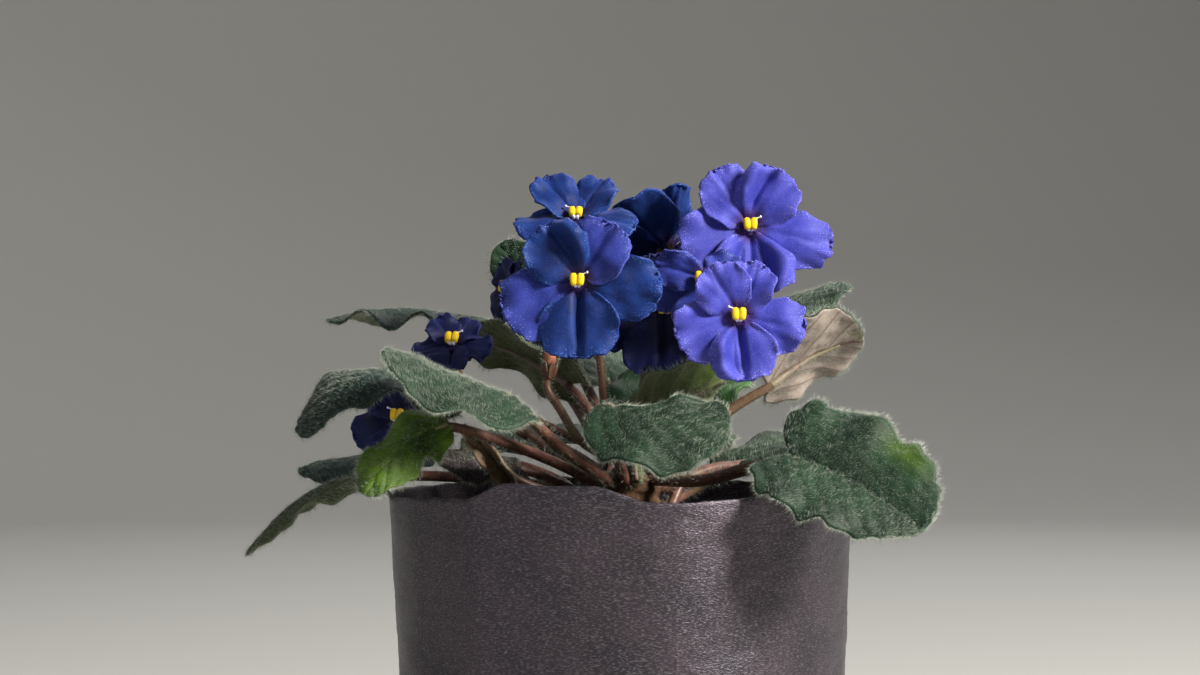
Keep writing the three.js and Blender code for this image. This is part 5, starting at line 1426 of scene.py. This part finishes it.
def cover_radius(angle, height):
    share = height / COVER_HEIGHT
    plain = COVER_FOOT_RADIUS + (COVER_TOP_RADIUS - COVER_FOOT_RADIUS) * share
    fold = FOLD_HEIGHT * bump(angle, FOLD_AT, FOLD_WIDTH) - HOLLOW_DEPTH * bump(angle, HOLLOW_AT, HOLLOW_WIDTH)
    dent = -DENT_HOLLOW * bump(angle, DENT_AT, DENT_WIDTH) * fade(share, 0.2, 0.9)
    belly = BELLY_HEIGHT * bump(angle, BELLY_AT, BELLY_WIDTH) * bump(360 * share, 210, 60)
    sway = OUT_OF_ROUND * np.sin(np.radians(3 * angle + 40))
    return plain + np.minimum(1, 3 * share) * (fold + dent) + belly + sway


# %% The sleeve's rows of points, from its foot up, over the rim, and down inside
# Each row: its share of the height, how far in it lies, and whether it is creased
COVER_COLUMNS, OUTER_ROWS, INNER_ROWS = 280, 120, 30
FOOT_INSET, RIM_THICKNESS = 30.0, 0.7
WIDE_CREASES = ((0.16, 5, 1.6), (0.25, 14, 9))  # how far each kind stands out, its length and its height
JAG, JAG_LENGTH = 0.5, 4
rows = [(0.0, FOOT_INSET, 0), (0.0, 1.6, 0), (0.004, 0.6, 0)]
rows += [(share, 0.0, 1) for share in np.linspace(0.02, 1, OUTER_ROWS)]
rows += [(1.003, 0.3, 1), (1.0, RIM_THICKNESS, 1)]
rows += [(share, RIM_THICKNESS + (COVER_WALL - RIM_THICKNESS) * min(1, 8 * (1 - share)), 1)
         for share in np.linspace(0.99, 0.03, INNER_ROWS)]
rows += [(COVER_WALL / COVER_HEIGHT, COVER_WALL, 0), (COVER_WALL / COVER_HEIGHT, FOOT_INSET, 0)]
angle = (np.linspace(FOLD_AT, FOLD_AT + 360, COVER_COLUMNS + 1) + 180) % 360 - 180
points = np.zeros((len(rows), COVER_COLUMNS + 1, 3))
for i, (share, inset, creased) in enumerate(rows):
    height = share * rim_height(angle)
    radius = cover_radius(angle, height) - inset
    x, y = radius * np.cos(np.radians(angle)), radius * np.sin(np.radians(angle))
    if creased:
        push = [sum(out * noise.noise(Vector((a / long, b / long, c / tall))) for out, long, tall in WIDE_CREASES)
                for a, b, c in zip(x, y, height)]
        radius = radius + np.array(push) * min(1, 12 * share)
        x, y = radius * np.cos(np.radians(angle)), radius * np.sin(np.radians(angle))
        jag = np.array([JAG * noise.noise(Vector((a / JAG_LENGTH, b / JAG_LENGTH, 3))) for a, b in zip(x, y)])
        height = height + jag * share ** 8
    points[i] = np.stack([x, y, height], axis=1)
print("Sleeve's grid:", len(rows), "rows of", COVER_COLUMNS, "points")

# %% The sleeve's sheet, with its foot closed outside and inside
sleeve = grid_sheet("pot_cover_fine", points, {})
sleeve.data.materials.append(PAPER)
bpy.ops.object.mode_set(mode="EDIT")
bpy.ops.mesh.select_all(action="SELECT")
bpy.ops.mesh.remove_doubles(threshold=FINE_MERGE * MM)
bpy.ops.mesh.select_all(action="DESELECT")
bpy.ops.mesh.select_mode(type="EDGE")
bpy.ops.mesh.select_non_manifold()
bpy.ops.mesh.edge_face_add()
bpy.ops.mesh.select_all(action="SELECT")
bpy.ops.mesh.normals_make_consistent(inside=False)
bpy.ops.object.mode_set(mode="OBJECT")
settle(joined("pot_cover_fine", [sleeve]), "pot_cover")
print("Paper cover made:", len(sleeve.data.polygons), "faces")

# %% [markdown]
# ## Floor and light
# The room is a pale round sweep: a flat floor that curves up into a wall, so that no horizon shows from
# any side. The main light is a soft box far to the right and above, as in the photograph, so a surface
# that turns to the left falls into shade. It shines in a cone, so that the floor under it isn't much
# brighter than the rest. A weak wide light from the left keeps that shade open, and one from behind draws
# the outline. The Standard view keeps the petals as deep a colour as their hex values say.

# %% Sweep
SWEEP, _, sweep_shader = finish("studio_sweep_pale", Roughness=0.9, Specular_IOR_Level=0.1)
sweep_shader.inputs["Base Color"].default_value = linear("#c6c5c1")
SWEEP_RADIUS, SWEEP_CURVE, SWEEP_HEIGHT, SWEEP_DROP = 2600, 900, 2400, 0.2
CURVE_STEPS, SWEEP_SIDES = 12, 96
sweep_profile = [(0, -SWEEP_DROP), (SWEEP_RADIUS - SWEEP_CURVE, -SWEEP_DROP)]
for k in range(1, CURVE_STEPS + 1):
    turn = math.radians(90 * k / CURVE_STEPS)
    sweep_profile.append((SWEEP_RADIUS - SWEEP_CURVE + SWEEP_CURVE * math.sin(turn),
                          SWEEP_CURVE * (1 - math.cos(turn)) - SWEEP_DROP))
sweep_profile.append((SWEEP_RADIUS, SWEEP_HEIGHT))
sweep = joined("studio_sweep", [lathe_piece("studio_sweep", sweep_profile, (0, 0, 0), (0, 0, 1), SWEEP, SWEEP_SIDES)])
print("Sweep made, with a radius of", SWEEP_RADIUS, "mm")

# %% Lights
AIMED_AT = (0, 0, 130)


def soft_box(name, at, power, size, colour, spread=180):
    """A square light that looks at the plant: its place, watts, side length, colour and cone in degrees."""
    bpy.ops.object.light_add(type="AREA", location=Vector(at) * MM)
    lamp = bpy.context.object
    lamp.name = name
    lamp.data.energy = power
    lamp.data.size = size * MM
    lamp.data.spread = math.radians(spread)
    lamp.data.color = linear(colour)[:3]
    aim = Vector(AIMED_AT) - Vector(at)
    lamp.rotation_euler = aim.to_track_quat("-Z", "Y").to_euler()


soft_box("soft_box_upper_right", (1080, -640, 900), 20, 380, "#fffaf2", 120)
soft_box("fill_left", (-1300, -900, 700), 2.5, 1200, "#e8efff")
soft_box("back_light", (500, 1200, 1300), 8, 800, "#ffffff")
world = bpy.data.worlds.new("studio_air")
world.use_nodes = True
world.node_tree.nodes["Background"].inputs["Color"].default_value = linear("#e6e8ec")
world.node_tree.nodes["Background"].inputs["Strength"].default_value = 0.25
bpy.context.scene.world = world
bpy.context.scene.view_settings.view_transform = "Standard"
